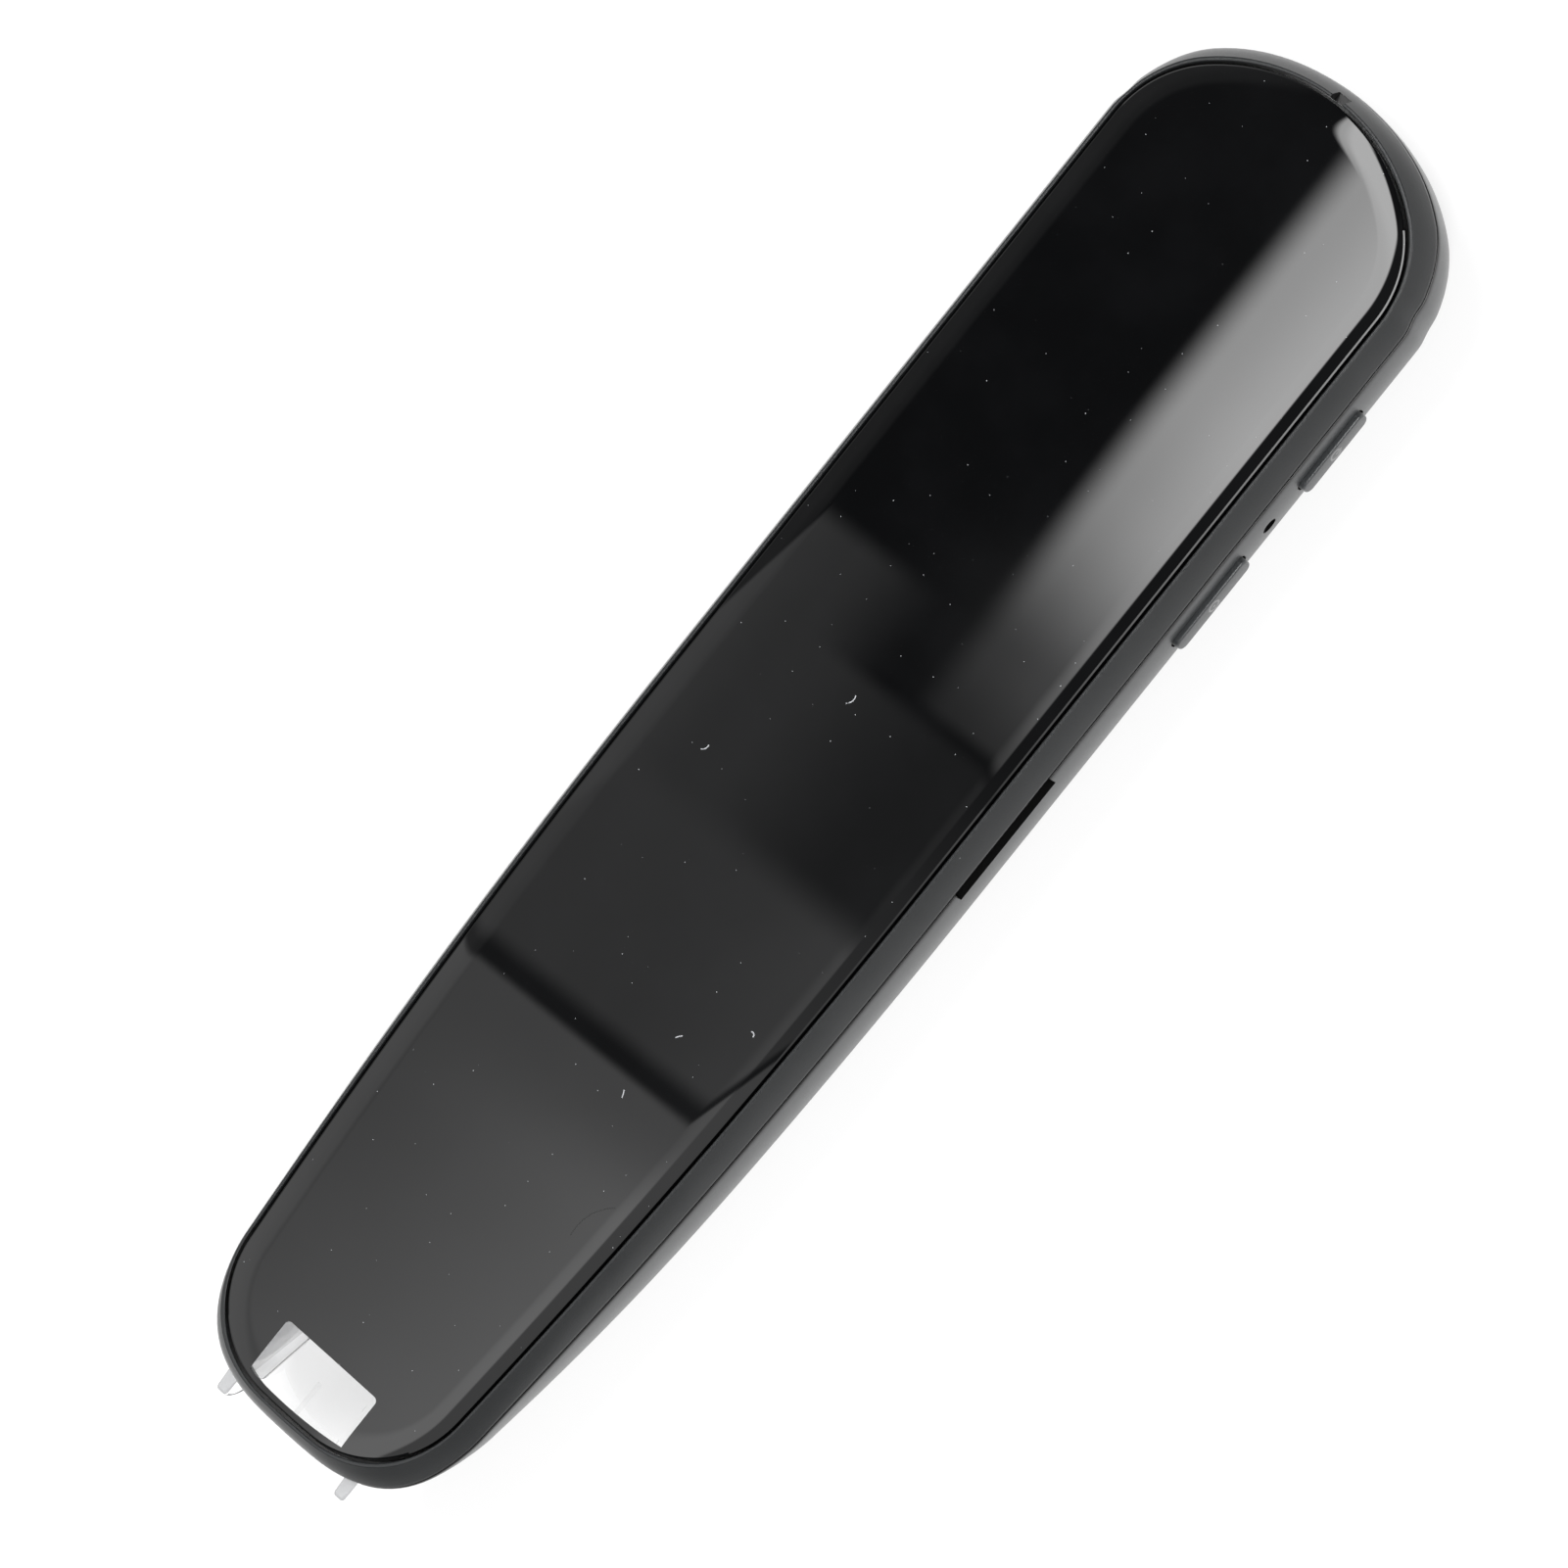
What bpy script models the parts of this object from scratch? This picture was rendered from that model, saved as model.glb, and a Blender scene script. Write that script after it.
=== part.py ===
# Scanning pen, in metres.
# +Y runs from the scanning tip to the far end, +X points to the key side and +Z out of the glass.
# The origin is on the flat back face, under the middle of the glass.
import math

import bmesh
import bpy
from mathutils import Vector

for old in list(bpy.data.objects):
    bpy.data.objects.remove(old)

# General fits
GAP = 0.0003                      # clearance between two pieces that seat on each other
OVERRUN = 0.002                   # how far a cutter reaches past what it cuts
OVERLAP = 0.0004                  # how far one solid reaches into another that it is joined to

# Outline of the front glass, seen from the front
GLASS_LENGTH = 0.150
GLASS_HALF_WIDTH = 0.0160
SIDE_ARC_RADIUS = 0.792           # the sides narrow towards the tip on this arc
SIDE_ARC_LENGTH = 0.0735          # from the tip to where the sides run straight
FAR_ARC_EXTRA = 0.0028            # far arc's radius beyond half the width
FAR_CORNER_RADIUS = 0.0111
TIP_ARC_RADIUS = 0.0823
TIP_CORNER_RADIUS = 0.0107
FAR_ARC_RADIUS = GLASS_HALF_WIDTH + FAR_ARC_EXTRA
TIP_Y = -GLASS_LENGTH / 2
FAR_Y = GLASS_LENGTH / 2
SIDE_ARC_START = TIP_Y + SIDE_ARC_LENGTH

# Heights that the whole stack follows, from the back face up
BODY_THICKNESS = 0.0127           # back face to the crown of the glass
GLASS_CROWN = 0.0003              # crown of the glass above the frame's rim
FRAME_DEPTH = 0.0030              # frame's rim to its lower edge
SEAM_GAP = 0.0003
RIM_Z = BODY_THICKNESS - GLASS_CROWN
FRAME_LOW_Z = RIM_Z - FRAME_DEPTH
COVER_TOP_Z = FRAME_LOW_Z - SEAM_GAP

# Front glass: flat middle, edge curved down
GLASS_THICKNESS = 0.0011
GLASS_EDGE_INSET = 0.00015        # from the outline to the glass edge
GLASS_BEVEL_WIDTH = 0.0020
GLASS_EDGE_DROP = 0.0005
GLASS_EDGE_STEPS = 4
GLASS_LOW_Z = BODY_THICKNESS - GLASS_THICKNESS

# Glass gasket
GASKET_THICKNESS = 0.0003
GASKET_INSET = 0.00035
GASKET_WIDTH = 0.00065
GASKET_TOP_Z = GLASS_LOW_Z - GAP
GASKET_LOW_Z = GASKET_TOP_Z - GASKET_THICKNESS

# Front frame
FRAME_GROOVE = 0.00015            # from the outline to the frame's inner rim
FRAME_LEDGE_WIDTH = 0.00115       # from the outline inwards
FRAME_LEDGE_THICKNESS = 0.0006
FRAME_INNER_OFFSET = 0.0003       # inner wall below the ledge
FRAME_RIM_WIDTH = 0.00028
FRAME_RIM_ROUND = 0.00012
FRAME_SEAM_OFFSET = 0.00166       # outer wall at the seam
FRAME_SIDE_BULGE = 0.00003
FRAME_SIDE_STEPS = 5
LEDGE_TOP_Z = GASKET_LOW_Z - GAP
LEDGE_LOW_Z = LEDGE_TOP_Z - FRAME_LEDGE_THICKNESS

# End microphone notch in the frame's rim
NOTCH_WIDTH = 0.0011
NOTCH_REACH = 0.00075             # from the outline outwards
NOTCH_DEPTH = 0.0006

# Rear cover
COVER_WALL = 0.00155
COVER_FLOOR = 0.0014
COVER_BELLY_OFFSET = 0.00175      # outer wall at its widest
COVER_RIM_ROUND = 0.00018
COVER_BELLY_DROP = 0.0009         # from the rim down to the widest level
COVER_BACK_RADIUS = 0.0052        # rounding from the wall into the back
COVER_INNER_RADIUS = 0.0030
COVER_BACK_STEPS = 7
COVER_INNER_STEPS = 4
COVER_INNER_OFFSET = COVER_BELLY_OFFSET - COVER_WALL

# Scan mouth in the rear cover and the clear nose in it
NOSE_HALF_WIDTH = 0.0083
NOSE_WALL = 0.0014
NOSE_TRAVEL = 0.0006
NOSE_SIDE_GAP = 0.0003
NOSE_SHRINK = 0.00015             # nose surface inside the cover's surface
NOSE_LENGTH = 0.0080              # from the glass tip back to the nose's open end
NOSE_LOW_Z = 0.0003
NOSE_FLOOR = 0.0013
NOSE_RUNNING_GAP = 0.0003         # left between nose and mouth edge when pressed
EAR_REACH = 0.0030                # beyond the glass tip
EAR_ROOT = 0.0030                 # from the glass tip back
EAR_DROP = 0.0042
EAR_TOP_ROUND = 0.0005
EAR_SIDE_INSET = 0.00005
EAR_STEPS = 7
ARM_INSET = 0.0001                # arm sides inside the nose walls
ARM_HEIGHT = 0.0018
ARM_LENGTH = 0.0070
SPRING_ROOM = 0.0048              # between the nose's arms and the bracket
FINGER_REACH = 0.0023             # inwards from the left arm, to the switch
FINGER_LENGTH = 0.0014
FINGER_HEIGHT = 0.0012
NOSE_INNER_Y = TIP_Y + NOSE_LENGTH
EAR_REACH_Y = TIP_Y - EAR_REACH
EAR_BACK_Y = TIP_Y + EAR_ROOT
ARM_END_Y = NOSE_INNER_Y + ARM_LENGTH
NOSE_TOP_Z = FRAME_LOW_Z - GAP
NOSE_INNER_HALF = NOSE_HALF_WIDTH - NOSE_WALL
MOUTH_HALF_WIDTH = NOSE_HALF_WIDTH + NOSE_SIDE_GAP
MOUTH_EDGE_Y = NOSE_INNER_Y + NOSE_TRAVEL + NOSE_RUNNING_GAP

# Keys on the +X side
KEY_LEVEL_DEPTH = 0.0069          # rim to the keys' centre line
KEY_HEIGHT = 0.0022
KEY_PROUD = 0.0005
KEY_EDGE_ROUND = 0.00025
KEY_CORNER = 0.0008
KEY_HOLE_GAP = 0.00015
KEY_FLANGE_EXTRA = 0.0006
KEY_FLANGE_THICKNESS = 0.0006
KEY_TRAVEL = 0.00035
POWER_KEY_FROM_END = 0.0242       # key's middle from the glass's far end
POWER_KEY_LENGTH = 0.0086
KEY_SPACING = 0.0172
FUNCTION_KEY_LENGTH = 0.0099
KEY_Z = RIM_Z - KEY_LEVEL_DEPTH
POWER_KEY_Y = FAR_Y - POWER_KEY_FROM_END
FUNCTION_KEY_Y = POWER_KEY_Y - KEY_SPACING
COVER_SIDE_X = GLASS_HALF_WIDTH + COVER_BELLY_OFFSET
COVER_INNER_X = GLASS_HALF_WIDTH + COVER_INNER_OFFSET

# Tact switches and their board
SWITCH_DEPTH = 0.0014
SWITCH_SIDE = 0.0036
SWITCH_CORNER = 0.0003
PLUNGER_RADIUS = 0.0008
PLUNGER_POCKET_GAP = 0.0003
PLUNGER_SUNK = 0.0005
KEY_BOARD_THICKNESS = 0.0006
KEY_BOARD_HEIGHT = 0.0064
KEY_BOARD_MARGIN = 0.0035

# Side microphone between the keys
SIDE_MIC_Y = (POWER_KEY_Y + FUNCTION_KEY_Y) / 2
MIC_HOLE_RADIUS = 0.0007
MIC_CAN_SIZE = (0.0012, 0.0030, 0.0024)
BOOT_RADIUS = 0.0013
BOOT_BORE_RADIUS = 0.0005

# USB-C socket in the far end wall
USB_WIDTH = 0.00894
USB_HEIGHT = 0.00326
USB_WALL = 0.0003
USB_LENGTH = 0.0070
USB_RECESS = 0.0006               # mouth behind the cover's surface
USB_Z = 0.0054
USB_HOLE_GAP = 0.0003
TONGUE_WIDTH = 0.0067
TONGUE_THICKNESS = 0.0007
TONGUE_LENGTH = 0.0044
USB_BOARD_SIZE = (0.0124, 0.0060, 0.0006)
USB_BOARD_MARGIN = 0.0034         # board's far edge short of the socket's mouth
USB_POST_RADIUS = 0.0012
USB_POST_X = 0.0046
FAR_WALL_Y = FAR_Y + COVER_BELLY_OFFSET
USB_MOUTH_Y = FAR_WALL_Y - USB_RECESS
USB_BOARD_Y = USB_MOUTH_Y - USB_BOARD_MARGIN - USB_BOARD_SIZE[1] / 2

# Battery between the socket's board and the speaker, and beside the key board
BATTERY_LENGTH = 0.0440
BATTERY_THICKNESS = 0.0050
BATTERY_EDGE = 0.0012
BATTERY_END_GAP = 0.0032          # to the socket's board
BATTERY_WALL_GAP = 0.0027         # to the far side wall
BATTERY_KEY_GAP = 0.0012          # to the key board
BATTERY_TIP_Y = USB_BOARD_Y - USB_BOARD_SIZE[1] / 2 - BATTERY_END_GAP - BATTERY_LENGTH

# Sound slot, open to the seam, and the speaker behind it
SLOT_FROM_BATTERY = 0.0136        # battery's end to the slot's middle
SLOT_LENGTH = 0.0134
SLOT_DROP = 0.0016                # below the cover's rim
MESH_THICKNESS = 0.0004
MESH_HEIGHT = 0.0022
MESH_LENGTH = 0.0140
SPEAKER_LENGTH = 0.0150
SPEAKER_WIDTH = 0.0106
SPEAKER_HEIGHT = 0.0042
SPEAKER_CORNER = 0.0012
SPEAKER_POCKET_WALL = 0.0012
SPEAKER_POCKET_DEPTH = 0.0010
CONE_THICKNESS = 0.0004
CONE_BEVEL = 0.0003
SPEAKER_RIB_THICKNESS = 0.0010
SPEAKER_RIB_LENGTH = 0.0100
SPEAKER_DROP = 0.0009             # speaker's top below the mid plate
SLOT_CENTRE_Y = BATTERY_TIP_Y - SLOT_FROM_BATTERY

# Mid plate and display
DISPLAY_THICKNESS = 0.0014
DISPLAY_SIDE_GAP = 0.0021         # inside the widest part of the glass
DISPLAY_FAR_GAP = 0.0105          # inside the far end of the glass
DISPLAY_CORNER = 0.0012
DISPLAY_HALF_WIDTH = GLASS_HALF_WIDTH - DISPLAY_SIDE_GAP
DISPLAY_FAR_Y = FAR_Y - DISPLAY_FAR_GAP
DISPLAY_TOP_Z = GLASS_LOW_Z - GAP
DISPLAY_LOW_Z = DISPLAY_TOP_Z - DISPLAY_THICKNESS
PLATE_THICKNESS = 0.0006
PLATE_INSET = 0.0003
PLATE_FROM_CAMERA = 0.0022
HOUSING_REAR_Y = ARM_END_Y + SPRING_ROOM
PLATE_TIP_Y = HOUSING_REAR_Y + PLATE_FROM_CAMERA
PLATE_TOP_Z = DISPLAY_LOW_Z - GAP
PLATE_LOW_Z = PLATE_TOP_Z - PLATE_THICKNESS
FLEX_SLOT_HALF_WIDTH = 0.0065
FLEX_SLOT_LENGTH = 0.0055

# Cover screws: head over the mid plate, shank in the cover's bosses
SCREW_SHANK_RADIUS = 0.0006
SCREW_HEAD_RADIUS = 0.0013
SCREW_HEAD_HEIGHT = 0.0005
SCREW_HEAD_EDGE = 0.0001
SCREW_DRIVE_RADIUS = 0.0005
SCREW_DRIVE_DEPTH = 0.0003
COVER_SCREW_LENGTH = 0.0050
BOSS_RADIUS = 0.0017
BOSS_PILOT_RADIUS = SCREW_SHANK_RADIUS + GAP
FAR_SCREW_INSET = (0.0055, 0.0075)   # inside the glass's side and far end
TIP_SCREW_INSET = (0.0044, 0.0025)   # inside the glass's side and the mid plate's tip end
FAR_SCREW_PLACE = (GLASS_HALF_WIDTH - FAR_SCREW_INSET[0], FAR_Y - FAR_SCREW_INSET[1])
TIP_SCREW_PLACE = (GLASS_HALF_WIDTH - TIP_SCREW_INSET[0], PLATE_TIP_Y + TIP_SCREW_INSET[1])

# Main board and what it carries
BOARD_THICKNESS = 0.0008
BOARD_DROP = 0.0026               # board's top below the mid plate
BOARD_SIDE_GAP = 0.0034           # inside the widest part of the glass
BOARD_FROM_CAMERA = 0.0069        # board's tip end from the camera housing
BOARD_FROM_SLOT = 0.0095          # board's far end from the sound slot's middle
BOARD_SCREW_LENGTH = 0.0030
BOARD_SCREW_INSET = (0.0026, 0.0020)
CAN_EDGE = 0.0004
PROCESSOR_FROM_END = 0.0088       # its middle from the board's far end
PROCESSOR_SIZE = (0.0140, 0.0080, 0.0016)
MEMORY_SIZE = (0.0110, 0.0058, 0.0010)
RADIO_SIZE = (0.0110, 0.0050, 0.0012)
POWER_CHIP_SIZE = (0.0060, 0.0050, 0.0010)
CHIP_SPACING = 0.0007
BOARD_TOP_Z = PLATE_LOW_Z - BOARD_DROP
BOARD_LOW_Z = BOARD_TOP_Z - BOARD_THICKNESS
ON_BOARD_Z = BOARD_TOP_Z + GAP
BOARD_HALF_WIDTH = GLASS_HALF_WIDTH - BOARD_SIDE_GAP
BOARD_TIP_Y = HOUSING_REAR_Y + BOARD_FROM_CAMERA
BOARD_FAR_Y = SLOT_CENTRE_Y - BOARD_FROM_SLOT
BOARD_SCREW_PLACES = ((BOARD_HALF_WIDTH - BOARD_SCREW_INSET[0], BOARD_FAR_Y - BOARD_SCREW_INSET[1]),
                      (BOARD_SCREW_INSET[0] - BOARD_HALF_WIDTH, BOARD_TIP_Y + BOARD_SCREW_INSET[1]))
PROCESSOR_Y = BOARD_FAR_Y - PROCESSOR_FROM_END

# Display flex and its connector
CONNECTOR_SIZE = (0.0110, 0.0027, 0.0010)
FLEX_THICKNESS = 0.0002
DISPLAY_FLEX_HALF_WIDTH = 0.0050
DISPLAY_FLEX_SPAN = 0.0043        # from the display to the connector's middle
CAMERA_FLEX_LANDING = 0.0003      # level end on the main board
DISPLAY_TIP_Y = PROCESSOR_Y - PROCESSOR_SIZE[1] / 2
CONNECTOR_Y = DISPLAY_TIP_Y - DISPLAY_FLEX_SPAN
CAMERA_FLEX_HALF_WIDTH = 0.0030

# Protection board, lead and plug of the battery
PROTECTION_LENGTH = 0.0140
PROTECTION_THICKNESS = 0.0013
PROTECTION_HEIGHT = 0.0030
PROTECTION_X = -0.0050            # middle of the protection board
LEAD_X = -0.0060
LEAD_RADIUS = 0.0005
PLUG_SIZE = (0.0042, 0.0027, 0.0011)
PLUG_INSET = 0.0023               # its middle from the board's far end
PLUG_Y = BOARD_FAR_Y - PLUG_INSET

# End microphone
END_MIC_SIZE = (0.0032, 0.0022, 0.0010)
END_MIC_FROM_END = 0.0023

# Scan camera, its light and its bracket
CAMERA_Z = 0.0054
HOUSING_SIDE_GAP = 0.0027         # inside the nose's walls, where the switch stands
HOUSING_LENGTH = 0.0073
HOUSING_TOP_Z = 0.0084
HOUSING_EDGE = 0.0004
BARREL_RADIUS = 0.0029
BARREL_BORE_RADIUS = 0.0022
BARREL_LENGTH = 0.0032
BARREL_BORE_DEPTH = 0.0014
LENS_RADIUS = 0.0019
LENS_EDGE = 0.0003
LENS_DOME = 0.0005
LENS_SUNK = 0.0003
LIGHT_BOARD_SIDE_GAP = 0.0005
LIGHT_BOARD_THICKNESS = 0.0006
LIGHT_BOARD_HEIGHT = 0.0064
LIGHT_BOARD_FORWARD = 0.0008      # in front of the housing
LED_SIZE = (0.0018, 0.0008, 0.0014)
LED_INSET = 0.0015                # from the light board's side edge
BRACKET_SIDE_GAP = 0.0052         # inside the widest part of the glass
BRACKET_THICKNESS = 0.0008
BRACKET_EYE_RADIUS = 0.0022
SENSOR_HALF_WIDTH = 0.0050
SENSOR_THICKNESS = 0.0006
HOUSING_HALF_WIDTH = NOSE_INNER_HALF - HOUSING_SIDE_GAP
LIGHT_BOARD_HALF_WIDTH = NOSE_INNER_HALF - LIGHT_BOARD_SIDE_GAP
LED_X = LIGHT_BOARD_HALF_WIDTH - LED_INSET
BRACKET_HALF_WIDTH = GLASS_HALF_WIDTH - BRACKET_SIDE_GAP

# Nose springs, drawn at their pressed length, and the nose switch
SPRING_RADIUS = 0.00085
SPRING_WIRE_RADIUS = 0.00015
SPRING_TURNS = 5
SPRING_TURN_POINTS = 9
SPRING_SHORT = 0.00015            # more than the travel that the spring's end stands off by
NOSE_SWITCH_WIDTH = 0.0019
NOSE_SWITCH_LENGTH = 0.0031
NOSE_SWITCH_HEIGHT = 0.0030
NOSE_PLUNGER_RADIUS = 0.0004
NOSE_PLUNGER_LENGTH = 0.0023
NOSE_POCKET_DEPTH = 0.0018
NOSE_SWITCH_SIDE_GAP = 0.0014     # inner side of the left arm to the switch's middle
NOSE_SWITCH_X = NOSE_SWITCH_SIDE_GAP - NOSE_INNER_HALF

# How many straight steps stand for each round stretch
TIP_STEPS = 4
TIP_CORNER_STEPS = 8
SIDE_STEPS = 8
FAR_CORNER_STEPS = 9
FAR_STEPS = 5
ROUND_SIDES = 18
STEM_SIDES = 14
CORNER_STEPS = 4
EDGE_STEPS = 2
LENS_STEPS = 4
FLEX_STEPS = 8
LEAD_STEPS = 14
LEAD_ROUND_STEPS = 2
SPRING_ROUND_STEPS = 1
SHARP_ANGLE = math.radians(30)


# Materials
def finish(name, colour, roughness, metallic=0.0, alpha=1.0):
    material = bpy.data.materials.new(name)
    material.use_nodes = True
    shader = material.node_tree.nodes["Principled BSDF"]
    shader.inputs["Base Color"].default_value = (*colour, 1.0)
    shader.inputs["Roughness"].default_value = roughness
    shader.inputs["Metallic"].default_value = metallic
    shader.inputs["Alpha"].default_value = alpha
    return material


HOUSING_GREY = finish("housing_grey", (0.075, 0.078, 0.082), 0.45)
GLASS_BLACK = finish("glass_black", (0.010, 0.011, 0.012), 0.06)
CLEAR_PLASTIC = finish("clear_plastic", (0.86, 0.87, 0.88), 0.08, alpha=0.35)
GASKET_BLACK = finish("gasket_black", (0.02, 0.02, 0.02), 0.8)
DISPLAY_DARK = finish("display_dark", (0.03, 0.03, 0.035), 0.2)
STEEL = finish("steel", (0.55, 0.56, 0.57), 0.35, 1.0)
BOARD_GREEN = finish("board_green", (0.02, 0.11, 0.06), 0.5)
CHIP_BLACK = finish("chip_black", (0.025, 0.025, 0.027), 0.55)
FLEX_AMBER = finish("flex_amber", (0.36, 0.17, 0.04), 0.45)
BATTERY_SILVER = finish("battery_silver", (0.42, 0.43, 0.45), 0.4, 0.6)
LEAD_RED = finish("lead_red", (0.35, 0.03, 0.03), 0.5)
LENS_GLASS = finish("lens_glass", (0.20, 0.22, 0.30), 0.03, alpha=0.5)
LED_WHITE = finish("led_white", (0.80, 0.78, 0.62), 0.3)
RUBBER_BLACK = finish("rubber_black", (0.018, 0.018, 0.018), 0.85)


# Building helpers
def add_mesh(name, bm, material, origin=None):
    """Make an object from a bmesh, with its origin at the given place or else in its middle."""
    bmesh.ops.recalc_face_normals(bm, faces=bm.faces[:])
    if origin is None:
        low = Vector([min(vert.co[i] for vert in bm.verts) for i in range(3)])
        high = Vector([max(vert.co[i] for vert in bm.verts) for i in range(3)])
        origin = (low + high) / 2
    bmesh.ops.translate(bm, verts=bm.verts[:], vec=-Vector(origin))
    mesh = bpy.data.meshes.new(name)
    bm.to_mesh(mesh)
    bm.free()
    mesh.materials.append(material)
    mesh.shade_smooth()
    mesh.set_sharp_from_angle(angle=SHARP_ANGLE)
    thing = bpy.data.objects.new(name, mesh)
    thing.location = origin
    bpy.context.scene.collection.objects.link(thing)
    return thing


def skin(name, rings, material, closed=False, origin=None):
    """Join equal rings of points in turn: capped at both ends, or closed into a loop."""
    bm = bmesh.new()
    loops = [[bm.verts.new(point) for point in ring] for ring in rings]
    pairs = list(zip(loops, loops[1:]))
    if closed:
        pairs.append((loops[-1], loops[0]))
    else:
        bm.faces.new(loops[0])
        bm.faces.new(loops[-1])
    count = len(loops[0])
    for low, high in pairs:
        for i in range(count):
            j = (i + 1) % count
            bm.faces.new((low[i], low[j], high[j], high[i]))
    return add_mesh(name, bm, material, origin)


def rounded_rectangle(half_u, half_v, corner):
    """Points of a rectangle with round corners, or of a circle when corner is both halves."""
    points = []
    for turn, (su, sv) in enumerate(((1, 1), (-1, 1), (-1, -1), (1, -1))):
        for step in range(CORNER_STEPS + 1):
            angle = math.pi / 2 * (turn + step / CORNER_STEPS)
            points.append((su * (half_u - corner) + corner * math.cos(angle),
                           sv * (half_v - corner) + corner * math.sin(angle)))
    return points


def circle(radius, sides=ROUND_SIDES):
    return [(radius * math.cos(2 * math.pi * i / sides), radius * math.sin(2 * math.pi * i / sides))
            for i in range(sides)]


def along(axis, centre, shapes):
    """Place flat shapes at stations along an axis; each shape is (station, points)."""
    cx, cy, cz = centre
    rings = []
    for station, points in shapes:
        if axis == "x":
            rings.append([(station, cy + u, cz + v) for u, v in points])
        elif axis == "y":
            rings.append([(cx + u, station, cz + v) for u, v in points])
        else:
            rings.append([(cx + u, cy + v, station) for u, v in points])
    return rings


def block(name, low, high, material, edge=0.0, origin=None):
    """A box between two corners, with an optional rounded edge."""
    bm = bmesh.new()
    bmesh.ops.create_cube(bm, size=1.0)
    size = Vector(high) - Vector(low)
    bmesh.ops.scale(bm, verts=bm.verts[:], vec=size)
    bmesh.ops.translate(bm, verts=bm.verts[:], vec=(Vector(high) + Vector(low)) / 2)
    if edge:
        bmesh.ops.bevel(bm, geom=bm.edges[:], offset=edge, affect="EDGES", segments=EDGE_STEPS,
                        profile=0.5, material=-1)
    return add_mesh(name, bm, material, origin)


def standing_block(name, place, size, low_z, material, edge=0.0):
    """A box that stands at a height, centred on a place."""
    x, y = place
    width, length, height = size
    return block(name, (x - width / 2, y - length / 2, low_z),
                 (x + width / 2, y + length / 2, low_z + height), material, edge)


def rod(name, axis, centre, radius, start, end, material, sides=ROUND_SIDES):
    shape = circle(radius, sides)
    return skin(name, along(axis, centre, ((start, shape), (end, shape))), material)


def combine(target, other, operation):
    """Cut or join a helper solid; the helper itself isn't part of the pen."""
    other.hide_render = True
    other.display_type = "WIRE"
    modifier = target.modifiers.new(other.name, "BOOLEAN")
    modifier.operation = operation
    modifier.solver = "EXACT"
    modifier.object = other


def cut(target, other):
    combine(target, other, "DIFFERENCE")


def join(target, other):
    combine(target, other, "UNION")


def carry(parent, child):
    """Parent a piece to the one that it moves with, and leave it where it is."""
    child.parent = parent
    child.location -= parent.location


def sweep(start, end, steps):
    """Points of a bend that leaves and arrives level; each point is (along, height)."""
    points = []
    for step in range(steps + 1):
        share = step / steps
        ease = share * share * (3 - 2 * share)
        points.append((start[0] + (end[0] - start[0]) * share, start[1] + (end[1] - start[1]) * ease))
    return points


def wire(name, points, radius, roundness, material):
    """A round wire or lead through a list of points, with closed ends."""
    curve = bpy.data.curves.new(name, "CURVE")
    curve.dimensions = "3D"
    curve.bevel_depth = radius
    curve.bevel_resolution = roundness
    curve.use_fill_caps = True
    spline = curve.splines.new("POLY")
    spline.points.add(len(points) - 1)
    for place, point in zip(spline.points, points):
        place.co = (*point, 1.0)
    curve.materials.append(material)
    bpy.context.scene.collection.objects.link(bpy.data.objects.new(name, curve))


# The outline: three arcs round each end and one down each side
def arc_points(centre, radius, start, end, steps):
    return [(centre[0] + radius * math.cos(start + (end - start) * i / steps),
             centre[1] + radius * math.sin(start + (end - start) * i / steps)) for i in range(steps)]


def outline(offset):
    """The glass outline moved outwards by offset, as points from the tip's middle, up the +X side."""
    far_centre = Vector((0.0, FAR_Y - FAR_ARC_RADIUS))
    corner_x = GLASS_HALF_WIDTH - FAR_CORNER_RADIUS
    reach = FAR_ARC_RADIUS - FAR_CORNER_RADIUS
    far_corner = Vector((corner_x, far_centre.y + math.sqrt(reach ** 2 - corner_x ** 2)))
    far_turn = math.atan2(far_corner.y - far_centre.y, far_corner.x - far_centre.x)

    side_centre = Vector((GLASS_HALF_WIDTH - SIDE_ARC_RADIUS, SIDE_ARC_START))
    tip_centre = Vector((0.0, TIP_Y + TIP_ARC_RADIUS))
    side_reach = SIDE_ARC_RADIUS - TIP_CORNER_RADIUS
    tip_reach = TIP_ARC_RADIUS - TIP_CORNER_RADIUS
    apart = tip_centre - side_centre
    foot = (side_reach ** 2 - tip_reach ** 2 + apart.length_squared) / (2 * apart.length)
    rise = math.sqrt(side_reach ** 2 - foot ** 2)
    ahead = apart.normalized()
    tip_corner = side_centre + ahead * foot + Vector((ahead.y, -ahead.x)) * rise
    tip_turn = math.atan2(tip_corner.y - tip_centre.y, tip_corner.x - tip_centre.x)
    side_turn = math.atan2(tip_corner.y - side_centre.y, tip_corner.x - side_centre.x)

    half = arc_points(tip_centre, TIP_ARC_RADIUS + offset, -math.pi / 2, tip_turn, TIP_STEPS)
    half += arc_points(tip_corner, TIP_CORNER_RADIUS + offset, tip_turn, side_turn, TIP_CORNER_STEPS)
    half += arc_points(side_centre, SIDE_ARC_RADIUS + offset, side_turn, 0.0, SIDE_STEPS)
    half += arc_points(far_corner, FAR_CORNER_RADIUS + offset, 0.0, far_turn, FAR_CORNER_STEPS)
    half += arc_points(far_centre, FAR_ARC_RADIUS + offset, far_turn, math.pi / 2, FAR_STEPS)
    return half + [(0.0, FAR_Y + offset)] + [(-x, y) for x, y in reversed(half[1:])]


def contour_rings(profile):
    """Rings that follow the outline; profile is (offset from the outline, height) pairs."""
    return [[(x, y, z) for x, y in outline(offset)] for offset, z in profile]


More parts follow.
